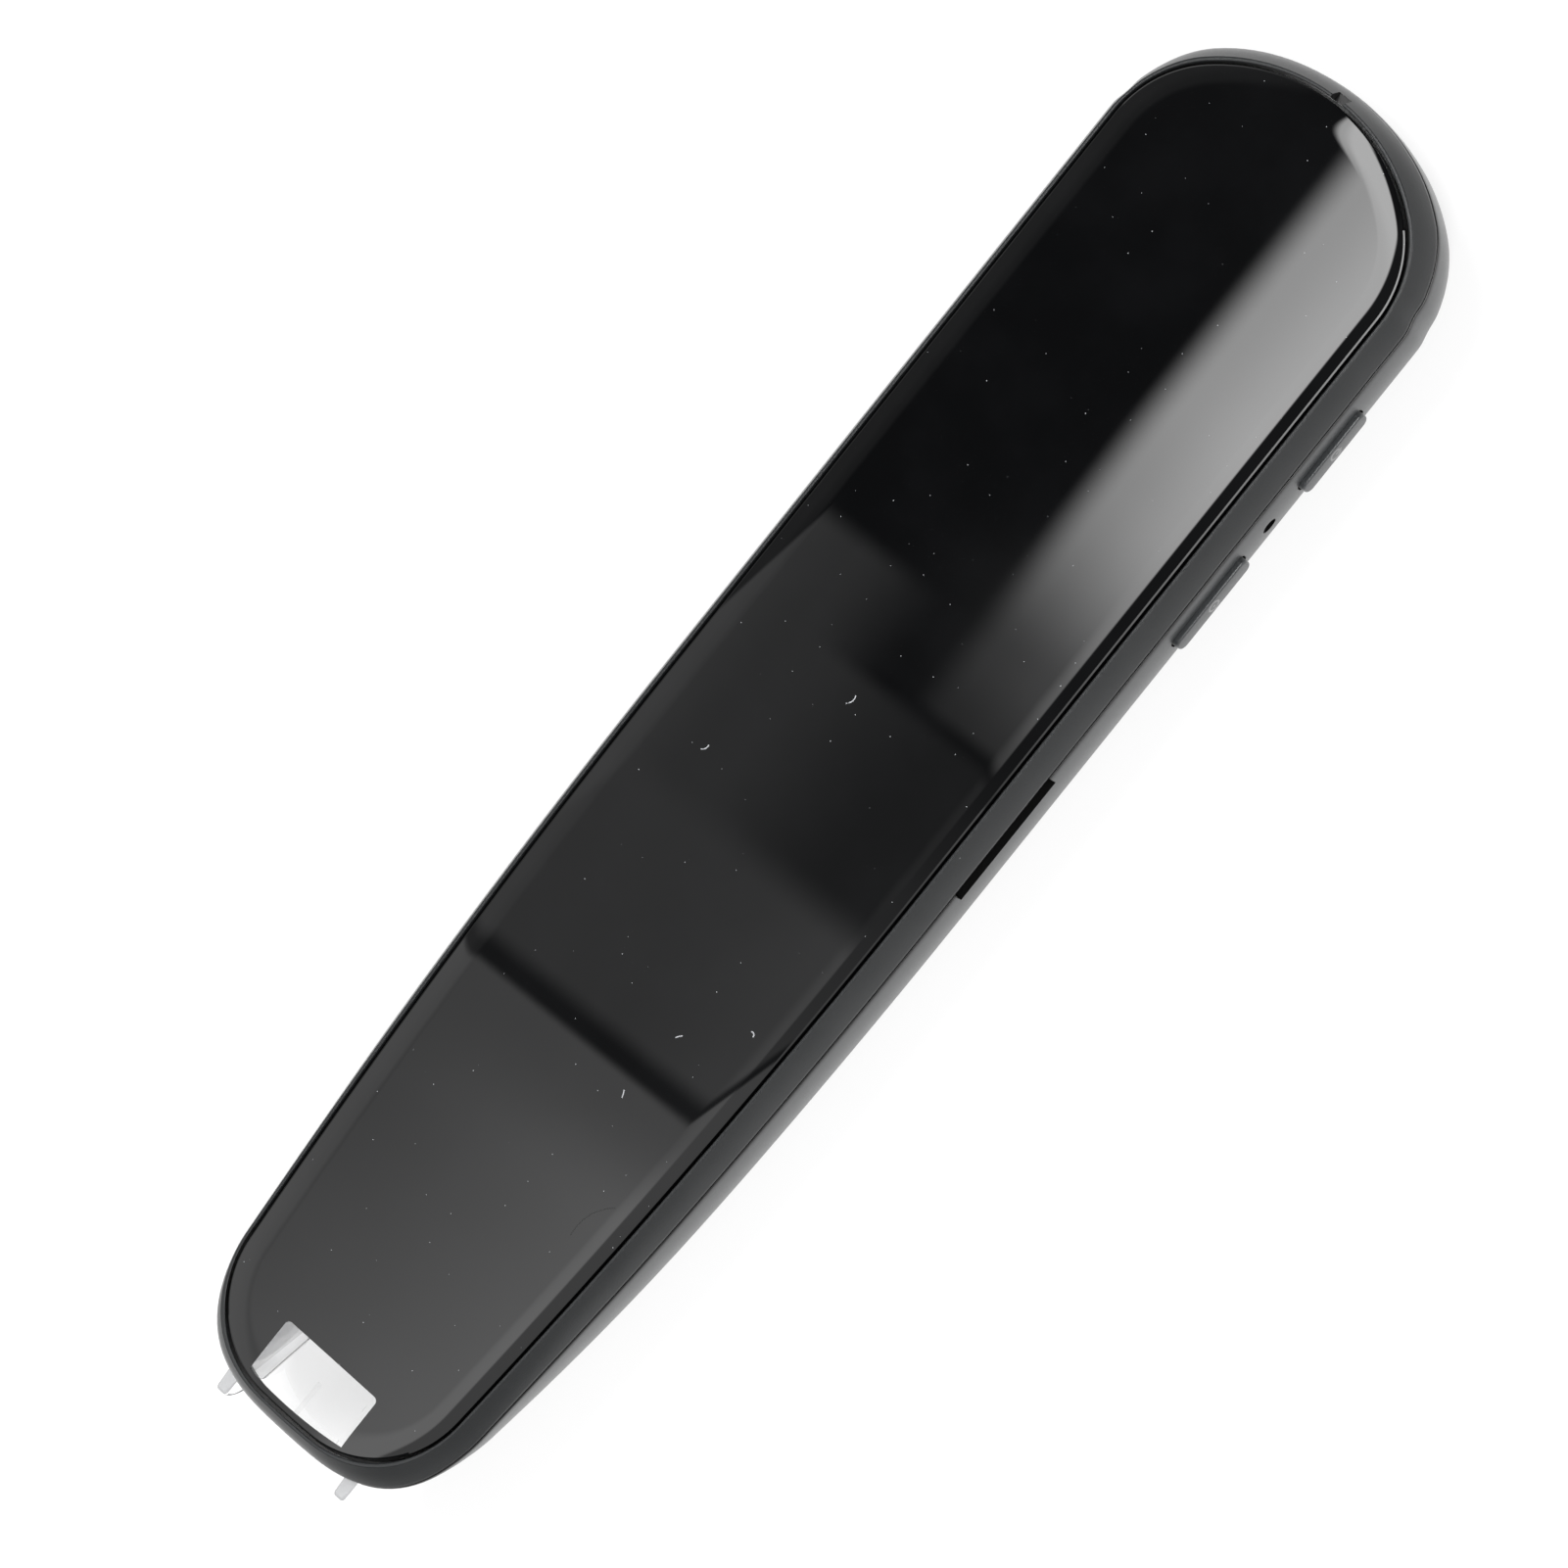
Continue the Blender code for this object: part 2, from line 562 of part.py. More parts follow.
def rounding(offset, z, radius, steps):
    """Quarter round from the flat at height z out to the wall at offset, going up."""
    return [(offset - radius + radius * math.sin(math.pi / 2 * i / steps),
             z + radius - radius * math.cos(math.pi / 2 * i / steps)) for i in range(steps + 1)]


# Rear cover: outer form, inner hollow, bosses, holes
def cover_outside(shrink=0.0):
    """Outer profile of the rear cover from the back face up to its widest level."""
    return rounding(COVER_BELLY_OFFSET - shrink, 0.0, COVER_BACK_RADIUS, COVER_BACK_STEPS)


def key_opening(y, length):
    """The hole that a key passes through, with its clearance."""
    shape = rounded_rectangle(length / 2 + KEY_HOLE_GAP, KEY_HEIGHT / 2 + KEY_HOLE_GAP,
                              KEY_CORNER + KEY_HOLE_GAP)
    return along("x", (0.0, y, KEY_Z), ((COVER_INNER_X - OVERRUN, shape), (COVER_SIDE_X + OVERRUN, shape)))


def rear_cover():
    rim_offset = FRAME_SEAM_OFFSET
    outside = cover_outside() + [
        (COVER_BELLY_OFFSET, COVER_TOP_Z - COVER_BELLY_DROP),
        (rim_offset, COVER_TOP_Z - COVER_RIM_ROUND),
        (rim_offset - COVER_RIM_ROUND, COVER_TOP_Z)]
    inside = rounding(COVER_INNER_OFFSET, COVER_FLOOR, COVER_INNER_RADIUS, COVER_INNER_STEPS)
    inside.append((COVER_INNER_OFFSET, COVER_TOP_Z))
    cover = skin("rear_cover", contour_rings(outside + inside[::-1]), HOUSING_GREY)

    # Bosses for the cover screws, the board screws and the USB board, and ribs under the speaker
    for number, (x, y) in enumerate(cover_screw_places(), 1):
        join(cover, rod(f"boss_{number}", "z", (x, y, 0.0), BOSS_RADIUS,
                        COVER_FLOOR - OVERLAP, PLATE_LOW_Z - GAP, HOUSING_GREY))
    for number, (x, y) in enumerate(BOARD_SCREW_PLACES, 1):
        join(cover, rod(f"board_boss_{number}", "z", (x, y, 0.0), BOSS_RADIUS,
                        COVER_FLOOR - OVERLAP, BOARD_LOW_Z - GAP, HOUSING_GREY))
    for side in (-1, 1):
        join(cover, rod(f"usb_post_{side}", "z", (side * USB_POST_X, USB_BOARD_Y, 0.0), USB_POST_RADIUS,
                        COVER_FLOOR - OVERLAP, usb_board_z() - GAP, HOUSING_GREY))
        rib_x = speaker_x() + side * SPEAKER_WIDTH / 4
        join(cover, block(f"speaker_rib_{side}",
                          (rib_x - SPEAKER_RIB_THICKNESS / 2, SLOT_CENTRE_Y - SPEAKER_RIB_LENGTH / 2,
                           COVER_FLOOR - OVERLAP),
                          (rib_x + SPEAKER_RIB_THICKNESS / 2, SLOT_CENTRE_Y + SPEAKER_RIB_LENGTH / 2,
                           speaker_z() - GAP), HOUSING_GREY))

    # Pilot holes
    for number, (x, y) in enumerate(cover_screw_places(), 1):
        cut(cover, rod(f"pilot_{number}", "z", (x, y, 0.0), BOSS_PILOT_RADIUS,
                       PLATE_TOP_Z - COVER_SCREW_LENGTH, PLATE_TOP_Z + OVERRUN, HOUSING_GREY))
    for number, (x, y) in enumerate(BOARD_SCREW_PLACES, 1):
        cut(cover, rod(f"board_pilot_{number}", "z", (x, y, 0.0), BOSS_PILOT_RADIUS,
                       BOARD_TOP_Z - BOARD_SCREW_LENGTH, BOARD_TOP_Z + OVERRUN, HOUSING_GREY))

    # Holes in the walls: keys, microphone, sound slot, USB socket
    cut(cover, skin("power_key_hole", key_opening(POWER_KEY_Y, POWER_KEY_LENGTH), HOUSING_GREY))
    cut(cover, skin("function_key_hole", key_opening(FUNCTION_KEY_Y, FUNCTION_KEY_LENGTH), HOUSING_GREY))
    cut(cover, rod("microphone_hole", "x", (0.0, SIDE_MIC_Y, KEY_Z), MIC_HOLE_RADIUS,
                   COVER_INNER_X - OVERRUN, COVER_SIDE_X + OVERRUN, HOUSING_GREY))
    cut(cover, block("sound_slot",
                     (COVER_INNER_X - OVERRUN, SLOT_CENTRE_Y - SLOT_LENGTH / 2, COVER_TOP_Z - SLOT_DROP),
                     (COVER_SIDE_X + OVERRUN, SLOT_CENTRE_Y + SLOT_LENGTH / 2, COVER_TOP_Z + OVERRUN),
                     HOUSING_GREY))
    socket_hole = rounded_rectangle(USB_WIDTH / 2 + USB_HOLE_GAP, USB_HEIGHT / 2 + USB_HOLE_GAP,
                                    USB_HEIGHT / 2 + USB_HOLE_GAP)
    cut(cover, skin("usb_hole", along("y", (0.0, 0.0, USB_Z),
                                      ((USB_MOUTH_Y - COVER_WALL - OVERRUN, socket_hole),
                                       (FAR_WALL_Y + OVERRUN, socket_hole))), HOUSING_GREY))

    # The scan mouth: the tip is open from the seam through the back
    cut(cover, block("scan_mouth",
                     (-MOUTH_HALF_WIDTH, TIP_Y - COVER_BELLY_OFFSET - OVERRUN, -OVERRUN),
                     (MOUTH_HALF_WIDTH, MOUTH_EDGE_Y, COVER_TOP_Z + OVERRUN), HOUSING_GREY))


# Front frame: the ring round the glass
def front_frame():
    rim = FRAME_GROOVE + FRAME_RIM_WIDTH
    side = []
    for step in range(1, FRAME_SIDE_STEPS + 1):
        share = step / FRAME_SIDE_STEPS
        side.append((rim + FRAME_RIM_ROUND + (FRAME_SEAM_OFFSET - rim - FRAME_RIM_ROUND) * share
                     + FRAME_SIDE_BULGE * math.sin(math.pi * share),
                     RIM_Z - FRAME_RIM_ROUND - (FRAME_DEPTH - FRAME_RIM_ROUND) * share))
    profile = [(FRAME_GROOVE, LEDGE_TOP_Z), (FRAME_GROOVE, RIM_Z - FRAME_RIM_ROUND),
               (FRAME_GROOVE + FRAME_RIM_ROUND, RIM_Z), (rim, RIM_Z - FRAME_RIM_ROUND / 4),
               (rim + FRAME_RIM_ROUND, RIM_Z - FRAME_RIM_ROUND)]
    profile += side
    profile += [(FRAME_INNER_OFFSET, FRAME_LOW_Z), (FRAME_INNER_OFFSET, LEDGE_LOW_Z),
                (-FRAME_LEDGE_WIDTH, LEDGE_LOW_Z), (-FRAME_LEDGE_WIDTH, LEDGE_TOP_Z)]
    frame = skin("front_frame", contour_rings(profile), HOUSING_GREY, closed=True)
    cut(frame, block("rim_notch", (-NOTCH_WIDTH / 2, FAR_Y - GLASS_EDGE_INSET, RIM_Z - NOTCH_DEPTH),
                     (NOTCH_WIDTH / 2, FAR_Y + NOTCH_REACH, RIM_Z + OVERRUN), HOUSING_GREY))


# Front glass: flat middle, edge falling away on a quarter ellipse
def front_glass():
    profile = [(-GLASS_EDGE_INSET, GLASS_LOW_Z)]
    for step in range(GLASS_EDGE_STEPS + 1):
        angle = math.pi / 2 * step / GLASS_EDGE_STEPS
        profile.append((-GLASS_EDGE_INSET - GLASS_BEVEL_WIDTH * (1 - math.cos(angle)),
                        BODY_THICKNESS - GLASS_EDGE_DROP * (1 - math.sin(angle))))
    skin("front_glass", contour_rings(profile), GLASS_BLACK)


def glass_gasket():
    inner = -GASKET_INSET - GASKET_WIDTH
    profile = [(inner, GASKET_LOW_Z), (-GASKET_INSET, GASKET_LOW_Z),
               (-GASKET_INSET, GASKET_TOP_Z), (inner, GASKET_TOP_Z)]
    skin("glass_gasket", contour_rings(profile), GASKET_BLACK, closed=True)


# Display, its flex and the mid plate
def display_panel():
    middle = (DISPLAY_TIP_Y + DISPLAY_FAR_Y) / 2
    shape = rounded_rectangle(DISPLAY_HALF_WIDTH, (DISPLAY_FAR_Y - DISPLAY_TIP_Y) / 2, DISPLAY_CORNER)
    skin("display_panel", along("z", (0.0, middle, 0.0), ((DISPLAY_LOW_Z, shape), (DISPLAY_TOP_Z, shape))),
         DISPLAY_DARK)


def ribbon(name, route, half_width, material):
    """A thin flex that follows a route of (y, z) points, with its thickness square to the route."""
    upper, lower = [], []
    for i, point in enumerate(route):
        here = Vector(point)
        ahead = Vector(route[min(i + 1, len(route) - 1)]) - Vector(route[max(i - 1, 0)])
        across = Vector((-ahead.y, ahead.x)).normalized() * (FLEX_THICKNESS / 2)
        upper.append(here + across)
        lower.append(here - across)
    section = upper + lower[::-1]
    skin(name, [[(x, y, z) for y, z in section] for x in (-half_width, half_width)], material)


def display_flex():
    start = (DISPLAY_TIP_Y - GAP, (DISPLAY_LOW_Z + DISPLAY_TOP_Z) / 2)
    end = (CONNECTOR_Y + CONNECTOR_SIZE[1] / 2 + GAP, ON_BOARD_Z + CONNECTOR_SIZE[2] / 2)
    ribbon("display_flex", sweep(start, end, FLEX_STEPS), DISPLAY_FLEX_HALF_WIDTH, FLEX_AMBER)


def cover_screw_places():
    return [(side * x, y) for x, y in (FAR_SCREW_PLACE, TIP_SCREW_PLACE) for side in (-1, 1)]


def mid_plate():
    edge = [(-PLATE_INSET, PLATE_LOW_Z), (-PLATE_INSET, PLATE_TOP_Z)]
    plate = skin("mid_plate", contour_rings(edge), STEEL)
    cut(plate, block("plate_end", (-GLASS_HALF_WIDTH - OVERRUN, TIP_Y - OVERRUN, PLATE_LOW_Z - OVERRUN),
                     (GLASS_HALF_WIDTH + OVERRUN, PLATE_TIP_Y, PLATE_TOP_Z + OVERRUN), STEEL))
    slot_far_y = DISPLAY_TIP_Y - GAP
    cut(plate, block("flex_slot",
                     (-FLEX_SLOT_HALF_WIDTH, slot_far_y - FLEX_SLOT_LENGTH, PLATE_LOW_Z - OVERRUN),
                     (FLEX_SLOT_HALF_WIDTH, slot_far_y, PLATE_TOP_Z + OVERRUN), STEEL))
    for number, (x, y) in enumerate(cover_screw_places(), 1):
        cut(plate, rod(f"plate_hole_{number}", "z", (x, y, 0.0), SCREW_SHANK_RADIUS + GAP,
                       PLATE_LOW_Z - OVERRUN, PLATE_TOP_Z + OVERRUN, STEEL))


def screw(name, place, seat_z, length):
    """A pan-head screw with a round drive recess; seat_z is the underside of its head."""
    head_top = seat_z + SCREW_HEAD_HEIGHT
    profile = ((SCREW_SHANK_RADIUS, seat_z - length), (SCREW_SHANK_RADIUS, seat_z),
               (SCREW_HEAD_RADIUS, seat_z), (SCREW_HEAD_RADIUS, head_top - SCREW_HEAD_EDGE),
               (SCREW_HEAD_RADIUS - SCREW_HEAD_EDGE, head_top), (SCREW_DRIVE_RADIUS, head_top),
               (SCREW_DRIVE_RADIUS, head_top - SCREW_DRIVE_DEPTH))
    shapes = [(z, circle(radius)) for radius, z in profile]
    return skin(name, along("z", (*place, 0.0), shapes), STEEL, origin=(*place, seat_z))


def screws():
    """Screws of one length share a mesh."""
    for kind, places, seat_z, length in (
            ("cover_screw", cover_screw_places(), PLATE_TOP_Z + GAP, COVER_SCREW_LENGTH - GAP),
            ("board_screw", BOARD_SCREW_PLACES, ON_BOARD_Z, BOARD_SCREW_LENGTH - GAP)):
        first = screw(f"{kind}_1", places[0], seat_z, length)
        for number, (x, y) in enumerate(places[1:], 2):
            copy = bpy.data.objects.new(f"{kind}_{number}", first.data)
            copy.location = (x, y, seat_z)
            bpy.context.scene.collection.objects.link(copy)


# Main board and what it carries
def main_board():
    board = block("main_board", (-BOARD_HALF_WIDTH, BOARD_TIP_Y, BOARD_LOW_Z),
                  (BOARD_HALF_WIDTH, BOARD_FAR_Y, BOARD_TOP_Z), BOARD_GREEN)
    for number, (x, y) in enumerate(BOARD_SCREW_PLACES, 1):
        cut(board, rod(f"board_hole_{number}", "z", (x, y, 0.0), SCREW_SHANK_RADIUS + GAP,
                       BOARD_LOW_Z - OVERRUN, BOARD_TOP_Z + OVERRUN, BOARD_GREEN))
    standing_block("processor_can", (0.0, PROCESSOR_Y), PROCESSOR_SIZE, ON_BOARD_Z, STEEL, CAN_EDGE)
    standing_block("display_connector", (0.0, CONNECTOR_Y), CONNECTOR_SIZE, ON_BOARD_Z, CHIP_BLACK)

    # Under the board, in a row from its far end: radio can, memory chip, power chip
    far_y = BOARD_FAR_Y - BOARD_THICKNESS
    for name, size, material, edge in (("radio_can", RADIO_SIZE, STEEL, CAN_EDGE),
                                       ("memory_chip", MEMORY_SIZE, CHIP_BLACK, 0.0),
                                       ("power_chip", POWER_CHIP_SIZE, CHIP_BLACK, 0.0)):
        standing_block(name, (0.0, far_y - size[1] / 2), size, BOARD_LOW_Z - GAP - size[2], material, edge)
        far_y -= size[1] + CHIP_SPACING


# Battery with its protection board, lead and plug
def battery():
    low_z = COVER_FLOOR + GAP
    key_side_x = key_board_x() - KEY_BOARD_THICKNESS - BATTERY_KEY_GAP
    block("battery", (BATTERY_WALL_GAP - COVER_INNER_X, BATTERY_TIP_Y, low_z),
          (key_side_x, BATTERY_TIP_Y + BATTERY_LENGTH, low_z + BATTERY_THICKNESS),
          BATTERY_SILVER, BATTERY_EDGE)
    far_y = BATTERY_TIP_Y - GAP
    near_y = far_y - PROTECTION_THICKNESS
    middle_z = low_z + BATTERY_THICKNESS / 2
    block("battery_board", (PROTECTION_X - PROTECTION_LENGTH / 2, near_y, middle_z - PROTECTION_HEIGHT / 2),
          (PROTECTION_X + PROTECTION_LENGTH / 2, far_y, middle_z + PROTECTION_HEIGHT / 2), BOARD_GREEN)
    standing_block("battery_plug", (LEAD_X, PLUG_Y), PLUG_SIZE, ON_BOARD_Z, CHIP_BLACK)

    # The lead rises from the protection board to the plug in one smooth sweep
    start = (near_y - GAP, middle_z)
    end = (PLUG_Y + PLUG_SIZE[1] / 2 + GAP, ON_BOARD_Z + PLUG_SIZE[2] / 2)
    route = [(LEAD_X, y, z) for y, z in sweep(start, end, LEAD_STEPS)]
    wire("battery_lead", route, LEAD_RADIUS, LEAD_ROUND_STEPS, LEAD_RED)


# Speaker behind the sound slot
def speaker_x():
    return COVER_INNER_X - 3 * GAP - MESH_THICKNESS - SPEAKER_WIDTH / 2


def speaker_z():
    return PLATE_LOW_Z - SPEAKER_DROP - SPEAKER_HEIGHT


def speaker():
    half_x, half_y = SPEAKER_WIDTH / 2, SPEAKER_LENGTH / 2
    low, top = speaker_z(), speaker_z() + SPEAKER_HEIGHT
    floor = top - SPEAKER_POCKET_DEPTH
    wall = SPEAKER_POCKET_WALL
    body = rounded_rectangle(half_x, half_y, SPEAKER_CORNER)
    pocket = rounded_rectangle(half_x - wall, half_y - wall, SPEAKER_CORNER)
    centre = (speaker_x(), SLOT_CENTRE_Y, 0.0)
    skin("speaker_body", along("z", centre, ((low, body), (top, body), (top, pocket), (floor, pocket))),
         CHIP_BLACK)
    cone = rounded_rectangle(half_x - wall - GAP, half_y - wall - GAP, SPEAKER_CORNER - GAP)
    crown = rounded_rectangle(half_x - wall - GAP - CONE_BEVEL, half_y - wall - GAP - CONE_BEVEL,
                              SPEAKER_CORNER - GAP - CONE_BEVEL)
    cone_z = floor + GAP
    skin("speaker_cone", along("z", centre, ((cone_z, cone), (cone_z + CONE_THICKNESS / 2, cone),
                                             (cone_z + CONE_THICKNESS, crown))), RUBBER_BLACK)
    mesh_x = COVER_INNER_X - GAP
    mesh_top = PLATE_LOW_Z - GAP
    block("speaker_mesh", (mesh_x - MESH_THICKNESS, SLOT_CENTRE_Y - MESH_LENGTH / 2, mesh_top - MESH_HEIGHT),
          (mesh_x, SLOT_CENTRE_Y + MESH_LENGTH / 2, mesh_top), GASKET_BLACK)


# Keys, their switches and the board behind them
def flange_x():
    return COVER_INNER_X - GAP - KEY_FLANGE_THICKNESS


def switch_face_x():
    """Outer face of the switch bodies: the plunger stands out of it towards the key's flange."""
    return flange_x() - GAP - KEY_TRAVEL - 2 * GAP


def key_board_x():
    """Face of the key board that the switches stand on."""
    return switch_face_x() - SWITCH_DEPTH - GAP


def key(name, y, length):
    half_u, half_v = length / 2, KEY_HEIGHT / 2
    flange = rounded_rectangle(half_u + KEY_FLANGE_EXTRA, half_v + KEY_FLANGE_EXTRA, KEY_CORNER)
    cap = rounded_rectangle(half_u, half_v, KEY_CORNER)
    inset = KEY_EDGE_ROUND * (1 - math.sqrt(0.5))
    middle = rounded_rectangle(half_u - inset, half_v - inset, KEY_CORNER)
    face = rounded_rectangle(half_u - KEY_EDGE_ROUND, half_v - KEY_EDGE_ROUND, KEY_CORNER - KEY_EDGE_ROUND)
    outer = COVER_SIDE_X + KEY_PROUD
    shapes = ((flange_x(), flange), (flange_x() + KEY_FLANGE_THICKNESS, flange),
              (flange_x() + KEY_FLANGE_THICKNESS, cap), (outer - KEY_EDGE_ROUND, cap),
              (outer - inset, middle), (outer, face))
    return skin(name, along("x", (0.0, y, KEY_Z), shapes), HOUSING_GREY, origin=(COVER_SIDE_X, y, KEY_Z))


def tact_switch(prefix, y):
    """A switch body and its plunger, which moves with the key."""
    centre = (0.0, y, KEY_Z)
    face = switch_face_x()
    pocket_floor = face - PLUNGER_SUNK - KEY_TRAVEL - GAP
    body = rounded_rectangle(SWITCH_SIDE / 2, SWITCH_SIDE / 2, SWITCH_CORNER)
    pocket_radius = PLUNGER_RADIUS + PLUNGER_POCKET_GAP
    pocket = rounded_rectangle(pocket_radius, pocket_radius, pocket_radius)
    skin(prefix + "_switch", along("x", centre, ((face - SWITCH_DEPTH, body), (face, body), (face, pocket),
                                                 (pocket_floor, pocket))), CHIP_BLACK)
    stem = circle(PLUNGER_RADIUS, STEM_SIDES)
    shapes = ((face - PLUNGER_SUNK, stem), (flange_x() - GAP, stem))
    return skin(prefix + "_plunger", along("x", centre, shapes), STEEL, origin=(face, y, KEY_Z))


def key_side():
    for prefix, y, length in (("power", POWER_KEY_Y, POWER_KEY_LENGTH),
                              ("function", FUNCTION_KEY_Y, FUNCTION_KEY_LENGTH)):
        carry(key(prefix + "_key", y, length), tact_switch(prefix, y))

    board_x = key_board_x()
    block("key_board", (board_x - KEY_BOARD_THICKNESS, FUNCTION_KEY_Y - KEY_BOARD_MARGIN, COVER_FLOOR + GAP),
          (board_x, POWER_KEY_Y + KEY_BOARD_MARGIN, COVER_FLOOR + GAP + KEY_BOARD_HEIGHT), BOARD_GREEN)

    depth, length, height = MIC_CAN_SIZE
    can_x = board_x + GAP
    block("side_microphone", (can_x, SIDE_MIC_Y - length / 2, KEY_Z - height / 2),
          (can_x + depth, SIDE_MIC_Y + length / 2, KEY_Z + height / 2), STEEL)
    outer, bore = circle(BOOT_RADIUS), circle(BOOT_BORE_RADIUS)
    inner_x, outer_x = can_x + depth + GAP, COVER_INNER_X - GAP
    skin("microphone_boot", along("x", (0.0, SIDE_MIC_Y, KEY_Z), ((inner_x, outer), (outer_x, outer),
                                                                (outer_x, bore), (inner_x, bore))),
         RUBBER_BLACK, closed=True)


# USB socket and end microphone at the far end
def usb_board_z():
    return USB_Z - USB_HEIGHT / 2 - GAP - USB_BOARD_SIZE[2]


def far_end():
    mouth, rear = USB_MOUTH_Y, USB_MOUTH_Y - USB_LENGTH
    outer = rounded_rectangle(USB_WIDTH / 2, USB_HEIGHT / 2, USB_HEIGHT / 2)
    inner = rounded_rectangle(USB_WIDTH / 2 - USB_WALL, USB_HEIGHT / 2 - USB_WALL, USB_HEIGHT / 2 - USB_WALL)
    skin("usb_shell", along("y", (0.0, 0.0, USB_Z), ((rear, outer), (mouth, outer), (mouth, inner),
                                                     (rear + USB_WALL, inner))), STEEL)
    tongue_y = rear + USB_WALL + GAP
    block("usb_tongue", (-TONGUE_WIDTH / 2, tongue_y, USB_Z - TONGUE_THICKNESS / 2),
          (TONGUE_WIDTH / 2, tongue_y + TONGUE_LENGTH, USB_Z + TONGUE_THICKNESS / 2), CHIP_BLACK)
    standing_block("usb_board", (0.0, USB_BOARD_Y), USB_BOARD_SIZE, usb_board_z(), BOARD_GREEN)
    standing_block("end_microphone", (0.0, FAR_Y - END_MIC_FROM_END), END_MIC_SIZE,
                   PLATE_LOW_Z - GAP - END_MIC_SIZE[2], STEEL)


# Scan camera, lights and bracket
def housing_front_y():
    return HOUSING_REAR_Y - HOUSING_LENGTH


def scan_camera():
    floor_z = COVER_FLOOR + GAP
    block("camera_housing", (-HOUSING_HALF_WIDTH, housing_front_y(), floor_z),
          (HOUSING_HALF_WIDTH, HOUSING_REAR_Y, HOUSING_TOP_Z), CHIP_BLACK, HOUSING_EDGE)
    centre = (0.0, 0.0, CAMERA_Z)
    rear = housing_front_y() - GAP
    front = rear - BARREL_LENGTH
    outer, bore = circle(BARREL_RADIUS), circle(BARREL_BORE_RADIUS)
    skin("camera_barrel", along("y", centre, ((rear, outer), (front, outer), (front, bore),
                                              (front + BARREL_BORE_DEPTH, bore))), CHIP_BLACK)
    lens_rear = front + BARREL_BORE_DEPTH - LENS_SUNK
    shapes = [(lens_rear, circle(LENS_RADIUS))]
    for step in range(LENS_STEPS):
        angle = math.pi / 2 * step / LENS_STEPS
        shapes.append((lens_rear - LENS_EDGE - LENS_DOME * math.sin(angle),
                       circle(LENS_RADIUS * math.cos(angle))))
    skin("camera_lens", along("y", centre, shapes), LENS_GLASS)

    light_y = housing_front_y() - LIGHT_BOARD_FORWARD
    lights = block("light_board", (-LIGHT_BOARD_HALF_WIDTH, light_y - LIGHT_BOARD_THICKNESS, floor_z),
                   (LIGHT_BOARD_HALF_WIDTH, light_y, floor_z + LIGHT_BOARD_HEIGHT), BOARD_GREEN)
    cut(lights, rod("barrel_hole", "y", centre, BARREL_RADIUS + GAP,
                    light_y - LIGHT_BOARD_THICKNESS - OVERRUN, light_y + OVERRUN, BOARD_GREEN))
    led_y = light_y - LIGHT_BOARD_THICKNESS - GAP
    width, depth, height = LED_SIZE
    for side, name in ((-1, "led_left"), (1, "led_right")):
        block(name, (side * LED_X - width / 2, led_y - depth, CAMERA_Z - height / 2),
              (side * LED_X + width / 2, led_y, CAMERA_Z + height / 2), LED_WHITE)

    bracket_y = HOUSING_REAR_Y + GAP
    bracket = block("scan_bracket", (-BRACKET_HALF_WIDTH, bracket_y, floor_z),
                    (BRACKET_HALF_WIDTH, bracket_y + BRACKET_THICKNESS, HOUSING_TOP_Z), CHIP_BLACK)
    cut(bracket, rod("bracket_eye", "y", centre, BRACKET_EYE_RADIUS, bracket_y - OVERRUN,
                     bracket_y + BRACKET_THICKNESS + OVERRUN, CHIP_BLACK))
    sensor_y = bracket_y + BRACKET_THICKNESS + GAP
    block("sensor_board", (-SENSOR_HALF_WIDTH, sensor_y, floor_z),
          (SENSOR_HALF_WIDTH, sensor_y + SENSOR_THICKNESS, HOUSING_TOP_Z), BOARD_GREEN)

    # The flex drops from the sensor board onto the main board and lies flat there
    start = (sensor_y + SENSOR_THICKNESS + GAP, HOUSING_TOP_Z - FLEX_THICKNESS)
    end = (BOARD_TIP_Y + CAMERA_FLEX_LANDING, ON_BOARD_Z + FLEX_THICKNESS / 2)
    route = sweep(start, end, FLEX_STEPS)
    route.append((end[0] + CAMERA_FLEX_LANDING, end[1]))
    ribbon("camera_flex", route, CAMERA_FLEX_HALF_WIDTH, FLEX_AMBER)


# Clear scan nose: a trough that carries on the cover's form, two ears, two arms and a finger
def ear_profile():
    """Side view of an ear: level top, rounded end, long arc back under to the cover."""
    top = NOSE_TOP_Z
    points = [(EAR_BACK_Y, top), (EAR_BACK_Y, top - EAR_DROP)]
    reach = EAR_REACH_Y - EAR_BACK_Y
    for step in range(EAR_STEPS):
        angle = math.pi / 2 * step / EAR_STEPS
        points.append((EAR_BACK_Y + reach * (1 + math.sin(angle)) / 2,
                       top - EAR_TOP_ROUND - (EAR_DROP - EAR_TOP_ROUND) * math.cos(angle)))
    points.append((EAR_REACH_Y, top - EAR_TOP_ROUND))
    points.append((EAR_REACH_Y + EAR_TOP_ROUND, top))
    return points


